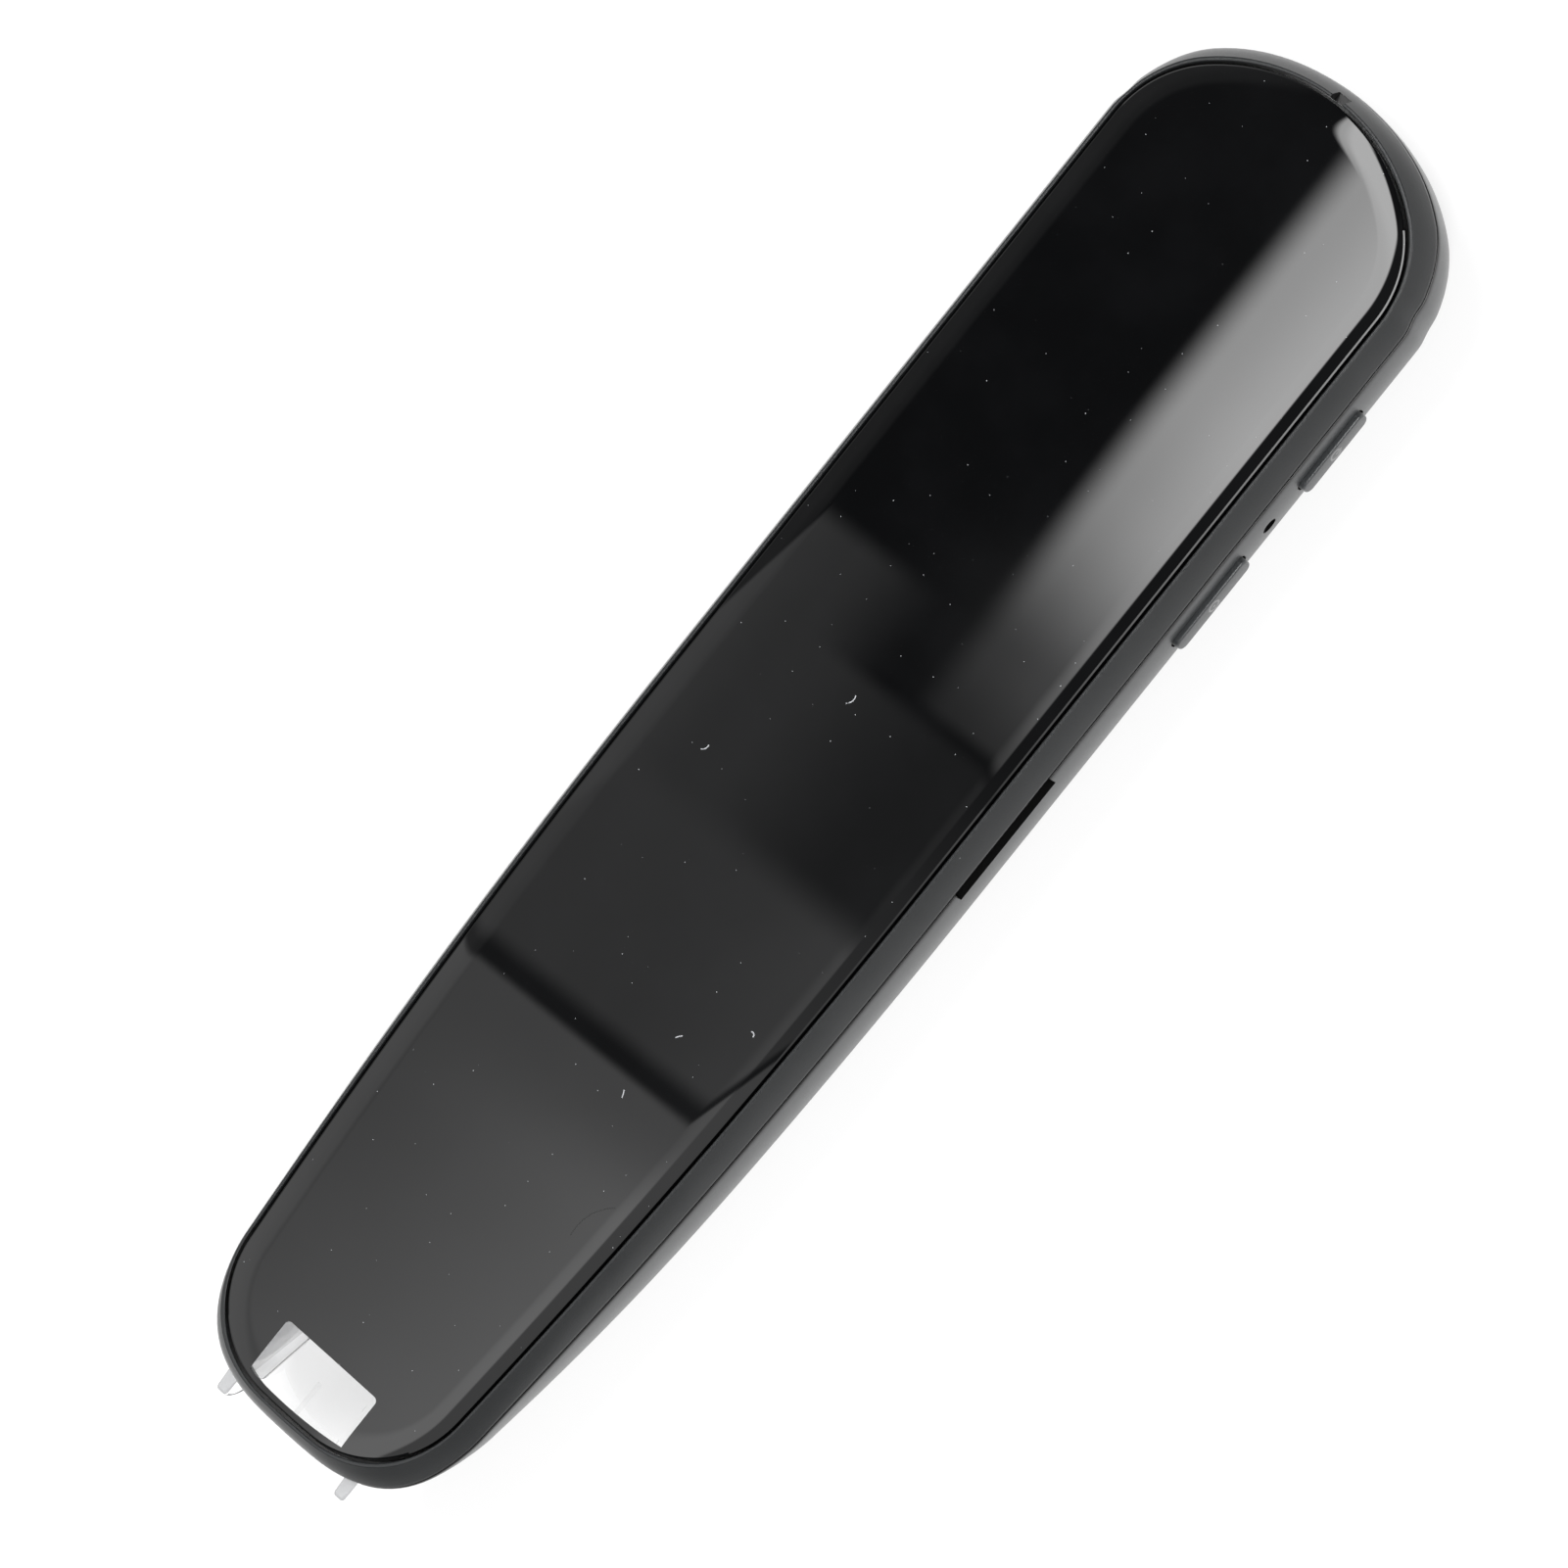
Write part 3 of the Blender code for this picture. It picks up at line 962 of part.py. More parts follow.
def scan_nose():
    tip_y = TIP_Y - COVER_BELLY_OFFSET - OVERRUN
    nose = block("scan_nose", (-NOSE_HALF_WIDTH, tip_y, NOSE_LOW_Z),
                 (NOSE_HALF_WIDTH, NOSE_INNER_Y, NOSE_TOP_Z), CLEAR_PLASTIC,
                 origin=(0.0, NOSE_INNER_Y, CAMERA_Z))
    form = cover_outside(NOSE_SHRINK)
    form.append((COVER_BELLY_OFFSET - NOSE_SHRINK, NOSE_TOP_Z + OVERRUN))
    combine(nose, skin("nose_form", contour_rings(form), CLEAR_PLASTIC), "INTERSECT")
    cut(nose, block("nose_hollow", (-NOSE_INNER_HALF, tip_y - OVERRUN, NOSE_LOW_Z + NOSE_FLOOR),
                    (NOSE_INNER_HALF, NOSE_INNER_Y + OVERRUN, NOSE_TOP_Z + OVERRUN), CLEAR_PLASTIC))
    arm_z = CAMERA_Z
    for side in (-1, 1):
        inner, outer = side * NOSE_INNER_HALF, side * NOSE_HALF_WIDTH
        ear_low = min(inner, outer) + EAR_SIDE_INSET
        ear_high = max(inner, outer) - EAR_SIDE_INSET
        ear = skin(f"ear_{side}", [[(x, y, z) for y, z in ear_profile()] for x in (ear_low, ear_high)],
                   CLEAR_PLASTIC)
        join(nose, ear)
        join(nose, block(f"arm_{side}",
                         (min(inner, outer) + ARM_INSET, NOSE_INNER_Y - OVERLAP, arm_z - ARM_HEIGHT / 2),
                         (max(inner, outer) - ARM_INSET, ARM_END_Y, arm_z + ARM_HEIGHT / 2), CLEAR_PLASTIC))
    join(nose, block("finger", (-NOSE_INNER_HALF - ARM_INSET - OVERLAP,
                                ARM_END_Y - ARM_INSET - FINGER_LENGTH, arm_z - FINGER_HEIGHT / 2),
                     (FINGER_REACH - NOSE_INNER_HALF, ARM_END_Y - ARM_INSET, arm_z + FINGER_HEIGHT / 2),
                     CLEAR_PLASTIC))
    return nose


def nose_spring(name, side):
    """A round-wire spring between the nose's arm and the bracket."""
    near = ARM_END_Y + NOSE_TRAVEL + SPRING_SHORT
    far = HOUSING_REAR_Y
    centre_x = side * (NOSE_HALF_WIDTH + NOSE_INNER_HALF) / 2
    steps = SPRING_TURNS * SPRING_TURN_POINTS
    length = far - near - 2 * SPRING_WIRE_RADIUS
    points = []
    for i in range(steps + 1):
        angle = 2 * math.pi * i / SPRING_TURN_POINTS
        points.append((centre_x + SPRING_RADIUS * math.cos(angle),
                       near + SPRING_WIRE_RADIUS + length * i / steps,
                       CAMERA_Z + SPRING_RADIUS * math.sin(angle)))
    wire(name, points, SPRING_WIRE_RADIUS, SPRING_ROUND_STEPS, STEEL)


def nose_switch():
    """The switch body, and its plunger, which moves with the nose."""
    centre = (NOSE_SWITCH_X, 0.0, CAMERA_Z)
    rear = HOUSING_REAR_Y
    front = rear - NOSE_SWITCH_LENGTH
    body = rounded_rectangle(NOSE_SWITCH_WIDTH / 2, NOSE_SWITCH_HEIGHT / 2, SWITCH_CORNER)
    pocket_radius = NOSE_PLUNGER_RADIUS + PLUNGER_POCKET_GAP
    pocket = rounded_rectangle(pocket_radius, pocket_radius, pocket_radius)
    skin("nose_switch", along("y", centre, ((rear, body), (front, body), (front, pocket),
                                            (front + NOSE_POCKET_DEPTH, pocket))), CHIP_BLACK)
    stem = circle(NOSE_PLUNGER_RADIUS)
    start = ARM_END_Y - ARM_INSET + GAP
    shapes = ((start, stem), (start + NOSE_PLUNGER_LENGTH, stem))
    return skin("nose_plunger", along("y", centre, shapes), STEEL, origin=(NOSE_SWITCH_X, front, CAMERA_Z))


rear_cover()
front_frame()
front_glass()
glass_gasket()
display_panel()
display_flex()
mid_plate()
screws()
main_board()
battery()
speaker()
key_side()
far_end()
scan_camera()
carry(scan_nose(), nose_switch())
nose_spring("nose_spring_left", -1)
nose_spring("nose_spring_right", 1)
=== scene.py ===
import math

import bmesh
import bpy
from mathutils import Matrix, Quaternion, Vector


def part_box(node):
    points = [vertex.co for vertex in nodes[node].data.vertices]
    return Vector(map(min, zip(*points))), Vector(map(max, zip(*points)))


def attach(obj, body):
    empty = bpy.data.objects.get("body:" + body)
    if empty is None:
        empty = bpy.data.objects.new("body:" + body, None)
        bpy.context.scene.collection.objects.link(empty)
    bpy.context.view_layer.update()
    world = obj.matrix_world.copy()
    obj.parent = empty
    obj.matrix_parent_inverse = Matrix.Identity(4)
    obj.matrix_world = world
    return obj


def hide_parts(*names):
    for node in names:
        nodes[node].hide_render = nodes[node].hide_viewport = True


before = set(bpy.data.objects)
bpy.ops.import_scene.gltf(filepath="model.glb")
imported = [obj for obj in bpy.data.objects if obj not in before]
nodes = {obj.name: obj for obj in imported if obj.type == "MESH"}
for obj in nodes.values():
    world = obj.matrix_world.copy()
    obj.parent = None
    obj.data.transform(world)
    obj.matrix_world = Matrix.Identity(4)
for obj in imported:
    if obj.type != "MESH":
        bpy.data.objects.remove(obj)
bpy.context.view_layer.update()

# Scanning pen, in metres: +Y to the far end, +X to the key side, +Z out of the glass
scene = bpy.context.scene
scene.view_settings.view_transform = "Standard"
print("frame loaded,", len(nodes), "nodes")


# The camera, where the photograph was taken from
camera = {
    "place": (0.28493, 0.05614, 0.75783),
    "aim": (-0.00032, -0.00267, 0.0127),
    "roll": -62.179,              # degrees about the line of sight
    "lens": 206.39,
    "sensor": 36.0,
}


def placeCamera():
    place = Vector(camera["place"])
    data = bpy.data.cameras.new("camera")
    data.lens = camera["lens"]
    data.sensor_width = camera["sensor"]
    data.clip_end = 20.0
    eye = bpy.data.objects.new("camera", data)
    eye.rotation_mode = "QUATERNION"
    eye.location = place
    level = (Vector(camera["aim"]) - place).to_track_quat("-Z", "Y")
    eye.rotation_quaternion = level @ Quaternion((0, 0, 1), math.radians(camera["roll"]))
    scene.collection.objects.link(eye)
    scene.camera = eye


placeCamera()

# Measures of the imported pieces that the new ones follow
glassLow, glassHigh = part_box("front_glass")
frameLow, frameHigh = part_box("front_frame")
coverLow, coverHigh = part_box("rear_cover")
noseLow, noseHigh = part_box("scan_nose")
socketLow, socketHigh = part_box("usb_shell")
microphoneLow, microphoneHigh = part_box("side_microphone")
meshLow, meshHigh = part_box("speaker_mesh")
overrun = 0.002                   # how far a cutter reaches past what it cuts

# The pen's outline: an arc at each end, round corners and slightly curved sides
outline = {
    "edgeInset": 0.00015,         # glass edge inside the outline
    "sideArc": 0.792,
    "sideArcLength": 0.0735,
    "farArcExtra": 0.0028,        # far arc beyond half the width
    "farCorner": 0.0111,
    "tipArc": 0.0823,
    "tipCorner": 0.0107,
    "steps": {"tip": 14, "tipCorner": 26, "side": 36, "straight": 24, "farCorner": 30, "far": 16},
}
halfWidth = glassHigh.x + outline["edgeInset"]
farY = glassHigh.y + outline["edgeInset"]
tipY = glassLow.y - outline["edgeInset"]


def outlineTurns():
    # each turn is a centre, an angle and a count of steps; the straight stretch has a length for an angle
    farArc = halfWidth + outline["farArcExtra"]
    farCentre = Vector((0, farY - farArc))
    cornerX = halfWidth - outline["farCorner"]
    reach = farArc - outline["farCorner"]
    farCorner = Vector((cornerX, farCentre.y + math.sqrt(reach ** 2 - cornerX ** 2)))
    farTurn = math.atan2(farCorner.y - farCentre.y, farCorner.x)

    sideCentre = Vector((halfWidth - outline["sideArc"], tipY + outline["sideArcLength"]))
    tipCentre = Vector((0, tipY + outline["tipArc"]))
    sideReach = outline["sideArc"] - outline["tipCorner"]
    tipReach = outline["tipArc"] - outline["tipCorner"]
    apart = tipCentre - sideCentre
    foot = (sideReach ** 2 - tipReach ** 2 + apart.length_squared) / (2 * apart.length)
    ahead = apart.normalized()
    rise = math.sqrt(sideReach ** 2 - foot ** 2)
    tipCorner = sideCentre + ahead * foot + Vector((ahead.y, -ahead.x)) * rise
    tipTurn = math.atan2(tipCorner.y - tipCentre.y, tipCorner.x)
    sideTurn = math.atan2(tipCorner.y - sideCentre.y, tipCorner.x - sideCentre.x)

    steps = outline["steps"]
    return [(tipCentre, tipTurn + math.pi / 2, steps["tip"]),
            (tipCorner, sideTurn - tipTurn, steps["tipCorner"]),
            (sideCentre, -sideTurn, steps["side"]),
            (None, farCorner.y - sideCentre.y, steps["straight"]),
            (farCorner, farTurn, steps["farCorner"]),
            (farCentre, math.pi / 2 - farTurn, steps["far"])]


def addPiece(name, bm, smoothAngle=35):
    # a new object from a bmesh, with its place in its mesh
    bmesh.ops.recalc_face_normals(bm, faces=bm.faces)
    mesh = bpy.data.meshes.new(name)
    bm.to_mesh(mesh)
    bm.free()
    mesh.shade_smooth()
    mesh.set_sharp_from_angle(angle=math.radians(smoothAngle))
    piece = bpy.data.objects.new(name, mesh)
    scene.collection.objects.link(piece)
    return piece


def sweepOutline(name, profile, closed=False, smoothAngle=35):
    # draws a profile of (offset from the outline, height) points at the tip and spins it round the pen
    bm = bmesh.new()
    points = [bm.verts.new((0, tipY - offset, z)) for offset, z in profile]
    pairs = list(zip(points, points[1:]))
    if closed:
        pairs.append((points[-1], points[0]))
    last = points + [bm.edges.new(pair) for pair in pairs]
    for centre, turn, steps in outlineTurns():
        if centre is None:
            for step in range(steps):
                edges = [part for part in last if isinstance(part, bmesh.types.BMEdge)]
                last = bmesh.ops.extrude_edge_only(bm, edges=edges)["geom"]
                last = [part for part in last if not isinstance(part, bmesh.types.BMFace)]
                moved = [part for part in last if isinstance(part, bmesh.types.BMVert)]
                bmesh.ops.translate(bm, verts=moved, vec=(0, turn / steps, 0))
        else:
            last = bmesh.ops.spin(bm, geom=last, cent=(*centre, 0), axis=(0, 0, 1), angle=turn,
                                  steps=steps, use_merge=False, use_duplicate=False)["geom_last"]
    whole = bm.verts[:] + bm.edges[:] + bm.faces[:]
    bmesh.ops.mirror(bm, geom=whole, matrix=Matrix.Identity(4), merge_dist=1e-6, axis="X")
    bmesh.ops.remove_doubles(bm, verts=bm.verts, dist=1e-6)
    if not closed:
        rims = [edge for edge in bm.edges if edge.is_boundary]
        bmesh.ops.holes_fill(bm, edges=rims, sides=0)
    return addPiece(name, bm, smoothAngle)


# How the housing differs from the plain sweep: fuller corners, and sides that draw in towards the tip's back
settling = {
    "tipFuller": 0.00047,
    "farFuller": 0.00040,
    "fuller": (50, 38),           # middle of the fuller stretch, in degrees from the side, and its half
    "farSlimmer": 0.0002,
    "slimmer": (11, 8),
    "fullAt": 0.0016,             # offset from the outline from which points move the whole way
    "drawStart": -0.025,
    "drawLength": 0.050,
    "draw": 0.0030,
    "drawMost": 0.0022,
    "drawShare": 0.4,             # most of a point's own distance from the middle
    "narrow": 0.00018,
    "narrowStart": -0.038,
    "narrowLength": 0.026,
    "narrowFade": 50,             # degrees round the tip's corner
}


def swell(angle, middle, half):
    # 1 in the middle of a stretch of angles, 0 at its ends
    if abs(angle - middle) >= half:
        return 0.0
    return math.cos(math.radians(90 * (angle - middle) / half)) ** 2


def besideCorner(place, corner, arcCentre, radius, turn):
    # how far a place is outside a round corner or the end arc that follows it, and its direction there
    away = place - corner
    angle = math.atan2(away.y, away.x)
    if away.x > 0 and away.y * turn > 0 and abs(angle) <= abs(turn):
        return away.length - radius, angle
    away = place - arcCentre
    if away.y * turn < 0:
        return 0.0, 0.0
    return away.length - radius - (corner - arcCentre).length, math.atan2(away.y, away.x)


def settle(piece, rimZ=None):
    # moves a swept piece's points; below rimZ its sides draw in as well
    (tipCentre, tipTurn, _), (tipCorner, _, _), (sideCentre, sideTurn, _) = outlineTurns()[:3]
    (farCorner, farTurn, _), (farCentre, _, _) = outlineTurns()[4:]
    ends = ((tipCorner, tipCentre, tipTurn - math.pi / 2, "tipCorner", "tipFuller", 0),
            (farCorner, farCentre, farTurn, "farCorner", "farFuller", settling["farSlimmer"]))
    for vert in piece.data.vertices:
        side = math.copysign(1, vert.co.x)
        place = Vector((abs(vert.co.x), vert.co.y))
        for corner, arcCentre, turn, radiusName, fullerName, slimmer in ends:
            offset, angle = besideCorner(place, corner, arcCentre, outline[radiusName], turn)
            degrees = abs(math.degrees(angle))
            amount = settling[fullerName] * swell(degrees, *settling["fuller"])
            amount -= slimmer * swell(degrees, *settling["slimmer"])
            amount *= min(max(offset, 0) / settling["fullAt"], 1)
            vert.co.x += side * amount * math.cos(angle)
            vert.co.y += amount * math.sin(angle)

        if place.y < settling["narrowStart"]:
            away, radius, fade = place - sideCentre, outline["sideArc"], 1.0
            if -math.atan2(away.y, away.x) > sideTurn:
                away, radius = place - tipCorner, outline["tipCorner"]
                degrees = -math.degrees(math.atan2(away.y, away.x))
                fade = swell(degrees, math.degrees(sideTurn), settling["narrowFade"])
            share = min((settling["narrowStart"] - place.y) / settling["narrowLength"], 1)
            amount = settling["narrow"] * share * share * (3 - 2 * share) * fade
            vert.co.x -= side * amount * min(max(away.length - radius, 0) / settling["fullAt"], 1)

        if rimZ and vert.co.y < settling["drawStart"]:
            share = (settling["drawStart"] - vert.co.y) / settling["drawLength"]
            inward = min(settling["draw"] * share ** 3, settling["drawMost"]) * max(1 - vert.co.z / rimZ, 0)
            vert.co.x -= side * min(inward, abs(vert.co.x) * settling["drawShare"])


def arc(centre, radius, start, end, steps, flatten=1.0):
    # points of a round stretch in a profile; angles in degrees, flatten scales its height
    points = []
    for step in range(steps + 1):
        angle = math.radians(start + (end - start) * step / steps)
        points.append((centre[0] + radius * math.cos(angle),
                       centre[1] + radius * flatten * math.sin(angle)))
    return points


def roundEdges(bm, edges, amount, segments):
    bmesh.ops.bevel(bm, geom=edges, offset=amount, affect="EDGES",
                    segments=segments, profile=0.5, material=-1)


def edgesAlong(bm, axis):
    return [edge for edge in bm.edges
            if abs((edge.verts[1].co - edge.verts[0].co).normalized()[axis]) > 0.99]


def roundedBlock(name, low, high, axis=0, corner=0.0, rim=0.0, bottomRim=0.0, segments=8, rimSegments=5):
    # a block with its corners rounded about one axis, and its far and near rims rounded over
    low, high = Vector(low), Vector(high)
    bm = bmesh.new()
    bmesh.ops.create_cube(bm, size=1.0)
    bmesh.ops.scale(bm, verts=bm.verts, vec=high - low)
    bmesh.ops.translate(bm, verts=bm.verts, vec=(low + high) / 2)
    if corner:
        roundEdges(bm, edgesAlong(bm, axis), corner, segments)
    for amount, level in ((rim, high[axis]), (bottomRim, low[axis])):
        if amount:
            edges = [edge for edge in bm.edges
                     if all(abs(vert.co[axis] - level) < 1e-7 for vert in edge.verts)]
            roundEdges(bm, edges, amount, rimSegments)
    return addPiece(name, bm)


def roundPin(name, axis, centre, radius, start, end, sides=40):
    bm = bmesh.new()
    bmesh.ops.create_cone(bm, cap_ends=True, segments=sides, radius1=radius, radius2=radius,
                          depth=abs(end - start))
    turn = {"x": Matrix.Rotation(math.pi / 2, 3, "Y"), "y": Matrix.Rotation(math.pi / 2, 3, "X"),
            "z": Matrix.Identity(3)}[axis]
    bmesh.ops.rotate(bm, verts=bm.verts, cent=(0, 0, 0), matrix=turn)
    place = Vector(centre)
    place["xyz".index(axis)] = (start + end) / 2
    bmesh.ops.translate(bm, verts=bm.verts, vec=place)
    return addPiece(name, bm)


def carve(piece, tools, operation="DIFFERENCE", smoothAngle=35):
    # cuts, joins or keeps the common part, then drops the tools
    for tool in tools:
        modifier = piece.modifiers.new(tool.name, "BOOLEAN")
        modifier.operation = operation
        modifier.solver = "EXACT"
        modifier.object = tool
    seen = piece.evaluated_get(bpy.context.evaluated_depsgraph_get())
    mesh = bpy.data.meshes.new_from_object(seen)
    piece.modifiers.clear()
    piece.data = mesh
    mesh.materials.clear()
    mesh.shade_smooth()
    mesh.set_sharp_from_angle(angle=math.radians(smoothAngle))
    for tool in tools:
        bpy.data.objects.remove(tool)


# Front glass: a flat sheet whose edge curves down all round
glass = {
    "bevelWidth": 0.0024,
    "bevelDrop": 0.00022,
    "chamferWidth": 0.00014,
    "chamferDrop": 0.000095,
    "underChamfer": 0.00012,
    "flatRing": 0.00006,          # keeps the flat's shading level right up to the bevel
    "bevelSteps": 18,
}


def makeGlass():
    edge, top, low = -outline["edgeInset"], glassHigh.z, glassLow.z
    under, chamfer = glass["underChamfer"], glass["chamferWidth"]
    wide, drop = glass["bevelWidth"] - chamfer, glass["bevelDrop"]
    profile = [(edge - under, low), (edge, low + under), (edge, top - drop - glass["chamferDrop"])]
    for step in range(glass["bevelSteps"] + 1):
        share = 1 - step / glass["bevelSteps"]
        profile.append((edge - chamfer - wide * (1 - share), top - drop * share ** 2))
    profile.append((edge - chamfer - wide - glass["flatRing"], top))
    return sweepOutline("glass_pane", profile, smoothAngle=11)


glassPane = makeGlass()
print("glass swept")

# Front frame: a narrow crest round the glass and a side that slopes out to the seam
rim = {
    "groove": 0.00015,            # outline to the inner wall
    "crest": 0.00024,
    "round": 0.00012,
    "seamOffset": 0.00166,
    "bulge": 0.00010,
    "seamRound": 0.00016,
    "ledgeWidth": 0.0003,
    "gasketOuter": 0.0001,
    "ledgeThickness": 0.0006,
    "ledgeDepth": 0.0017,         # crest to the ledge's top
    "innerOffset": 0.0003,
    "sideSteps": 10,
    "notchWidth": 0.0015,         # end microphone notch
    "notchReach": 0.00100,
    "notchDepth": 0.0013,
}


def makeFrame():
    top, low = frameHigh.z, frameLow.z
    groove, small = rim["groove"], rim["round"]
    outer = groove + rim["crest"]
    ledgeTop = top - rim["ledgeDepth"]
    profile = [(groove, ledgeTop)]
    profile += arc((groove + small, top - small), small, 180, 90, 5)
    profile += arc((outer, top - small), small, 75, 20, 4)
    start, end = Vector(profile[-1]), Vector((rim["seamOffset"], low + rim["seamRound"]))
    for step in range(1, rim["sideSteps"] + 1):
        share = step / rim["sideSteps"]
        point = start.lerp(end, share)
        profile.append((point.x + rim["bulge"] * math.sin(math.pi * share), point.y))
    seamRound = rim["seamRound"]
    profile += arc((rim["seamOffset"] - seamRound, low + seamRound), seamRound, -20, -90, 4)
    profile += [(rim["innerOffset"], low),
                (rim["innerOffset"], ledgeTop - rim["ledgeThickness"]),
                (-rim["ledgeWidth"], ledgeTop - rim["ledgeThickness"]), (-rim["ledgeWidth"], ledgeTop)]
    ring = sweepOutline("frame_ring", profile, closed=True)
    settle(ring)
    notchHalf, notchFrom = rim["notchWidth"] / 2, farY - outline["edgeInset"]
    carve(ring, [roundedBlock("notch", (-notchHalf, notchFrom, top - rim["notchDepth"]),
                              (notchHalf, farY + rim["notchReach"], top + overrun))])
    return ring


def makeGasket():
    low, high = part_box("glass_gasket")
    inner, outer = -rim["ledgeWidth"], -rim["gasketOuter"]
    profile = [(inner, low.z), (outer, low.z), (outer, high.z), (inner, high.z)]
    return sweepOutline("gasket_ring", profile, closed=True)


frameRing = makeFrame()
gasketRing = makeGasket()
print("frame swept")

# Rear cover: round-backed shell with holes for the keys, microphone, speaker, socket and scan nose
cover = {
    "wall": 0.00155,
    "floor": 0.0014,
    "belly": 0.00175,             # outer wall at its widest, from the outline
    "bellyDrop": 0.0009,
    "rimRound": 0.00014,
    "rimOffset": 0.00170,         # outer wall at the rim
    "darkRim": 0.00027,           # depth at the parting line painted near black, a painted shade in the seam
    "backRadius": 0.00375,
    "sideTurn": 13.0,             # degrees that the side curves in before it rounds into the back
    "innerRadius": 0.0030,
    "backSteps": 20,
    "sideSteps": 8,
    "rimSteps": 5,
    "innerSteps": 8,
    "slotLength": 0.0134,
    "slotDrop": 0.0016,
    "slotCentre": (meshLow.y + meshHigh.y) / 2,
    "micRadius": 0.00082,
    "mouthGap": 0.0003,
    "socketGap": 0.0003,
    "mouthRunning": 0.0009,       # nose's inner end to the mouth's edge
    "noseArm": 0.0070,
}
keys = {
    "height": 0.0022,
    "proud": 0.0005,
    "corner": 0.0008,
    "rim": 0.00026,
    "holeGap": 0.00019,
    "flangeExtra": 0.0006,
    "flangeThickness": 0.0006,
    "names": ("power_key", "function_key"),
    "markRadius": 0.00060,
    "markLine": 0.00010,
    "markColour": (0.14, 0.14, 0.14),
}
coverSideX = halfWidth + cover["belly"]
coverInnerX = coverSideX - cover["wall"]


def backProfile(shrink=0.0):
    # outer profile from the back face up to the widest level
    radius, turn = cover["backRadius"], cover["sideTurn"]
    slow = math.radians(turn)
    rise = coverHigh.z - cover["bellyDrop"] - radius * (1 - math.sin(slow))
    sideRadius = rise / math.sin(slow)
    widest = cover["belly"] - shrink
    centre = widest - sideRadius * (1 - math.cos(slow)) - radius * math.cos(slow)
    profile = arc((centre, radius), radius, -90, -turn, cover["backSteps"])
    belly = (widest - sideRadius, coverHigh.z - cover["bellyDrop"])
    return profile + arc(belly, sideRadius, -turn, 0, cover["sideSteps"])[1:]


def keyPlace(name):
    # centre and length of a key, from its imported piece
    low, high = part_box(name)
    length = high.y - low.y - 2 * keys["flangeExtra"]
    return (low.y + high.y) / 2, (low.z + high.z) / 2, length


def makeCover():
    top = coverHigh.z
    rimRound, seam = cover["rimRound"], cover["rimOffset"]
    profile = backProfile()
    for step in range(1, cover["rimSteps"] + 1):
        share = step / cover["rimSteps"]
        profile.append((cover["belly"] + (seam - cover["belly"]) * share ** 3,
                        top - cover["bellyDrop"] + (cover["bellyDrop"] - rimRound) * share))
    profile += arc((seam - rimRound, top - rimRound), rimRound, 15, 90, 5)
    inner = cover["belly"] - cover["wall"]
    profile.append((inner, top))
    radius = cover["innerRadius"]
    profile += arc((inner - radius, cover["floor"] + radius), radius, 0, -90, cover["innerSteps"])
    shell = sweepOutline("cover_shell", profile)
    settle(shell, top)

    tools = []
    for name in keys["names"]:
        y, z, length = keyPlace(name)
        halfY, halfZ = length / 2 + keys["holeGap"], keys["height"] / 2 + keys["holeGap"]
        tools.append(roundedBlock(name + "_hole", (coverInnerX - overrun, y - halfY, z - halfZ),
                                  (coverSideX + overrun, y + halfY, z + halfZ),
                                  corner=keys["corner"] + keys["holeGap"]))
    micY = (microphoneLow.y + microphoneHigh.y) / 2
    micZ = (microphoneLow.z + microphoneHigh.z) / 2
    tools.append(roundPin("mic_hole", "x", (0, micY, micZ), cover["micRadius"],
                          coverInnerX - overrun, coverSideX + overrun))
    slotY, slotHalf, slotZ = cover["slotCentre"], cover["slotLength"] / 2, top - cover["slotDrop"]
    tools.append(roundedBlock("sound_slot", (coverInnerX - overrun, slotY - slotHalf, slotZ),
                              (coverSideX + overrun, slotY + slotHalf, top + overrun)))
    gap = cover["socketGap"]
    tools.append(roundedBlock("socket_hole",
                              (socketLow.x - gap, socketHigh.y - cover["wall"] - overrun, socketLow.z - gap),
                              (socketHigh.x + gap, socketHigh.y + overrun, socketHigh.z + gap), axis=1,
                              corner=(socketHigh.z - socketLow.z) / 2 + gap - 1e-5, segments=14))
    mouthEdge = noseHigh.y - cover["noseArm"] + cover["mouthRunning"]
    mouthGap = cover["mouthGap"]
    tools.append(roundedBlock("scan_mouth", (noseLow.x - mouthGap, tipY - cover["belly"] - overrun, -overrun),
                              (noseHigh.x + mouthGap, mouthEdge, top + overrun)))
    carve(shell, tools)
    return shell


coverShell = makeCover()
print("cover carved")


# Keys: rounded caps with a flange behind the wall
def makeKey(name):
    y, z, length = keyPlace(name)
    low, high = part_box(name)
    half, tall = length / 2, keys["height"] / 2
    cap = roundedBlock(name + "_cap", (low.x + keys["flangeThickness"] / 2, y - half, z - tall),
                       (high.x, y + half, z + tall), corner=keys["corner"], rim=keys["rim"])
    flange = roundedBlock(name + "_flange", (low.x, low.y, low.z),
                          (low.x + keys["flangeThickness"], high.y, high.z), corner=keys["corner"])
    carve(cap, [flange], "UNION")
    return cap


keyCaps = {name: makeKey(name) for name in keys["names"]}
print("keys made")

# Clear scan nose: a trough that carries on the cover's form, with an ear each side beyond the tip
nose = {
    "shrink": 0.00015,
    "wall": 0.0014,
    "floor": 0.0013,
    "earRoot": 0.0030,
    "earDrop": 0.0042,
    "earTopRound": 0.0005,
    "earSideInset": 0.00005,
    "armInset": 0.0001,
    "armHeight": 0.0018,
    "fingerReach": 0.0023,
    "fingerLength": 0.0014,
    "fingerHeight": 0.0012,
    "earSteps": 16,
    "earRoundFrom": 0.0016,
    "earEdge": 0.00035,
}


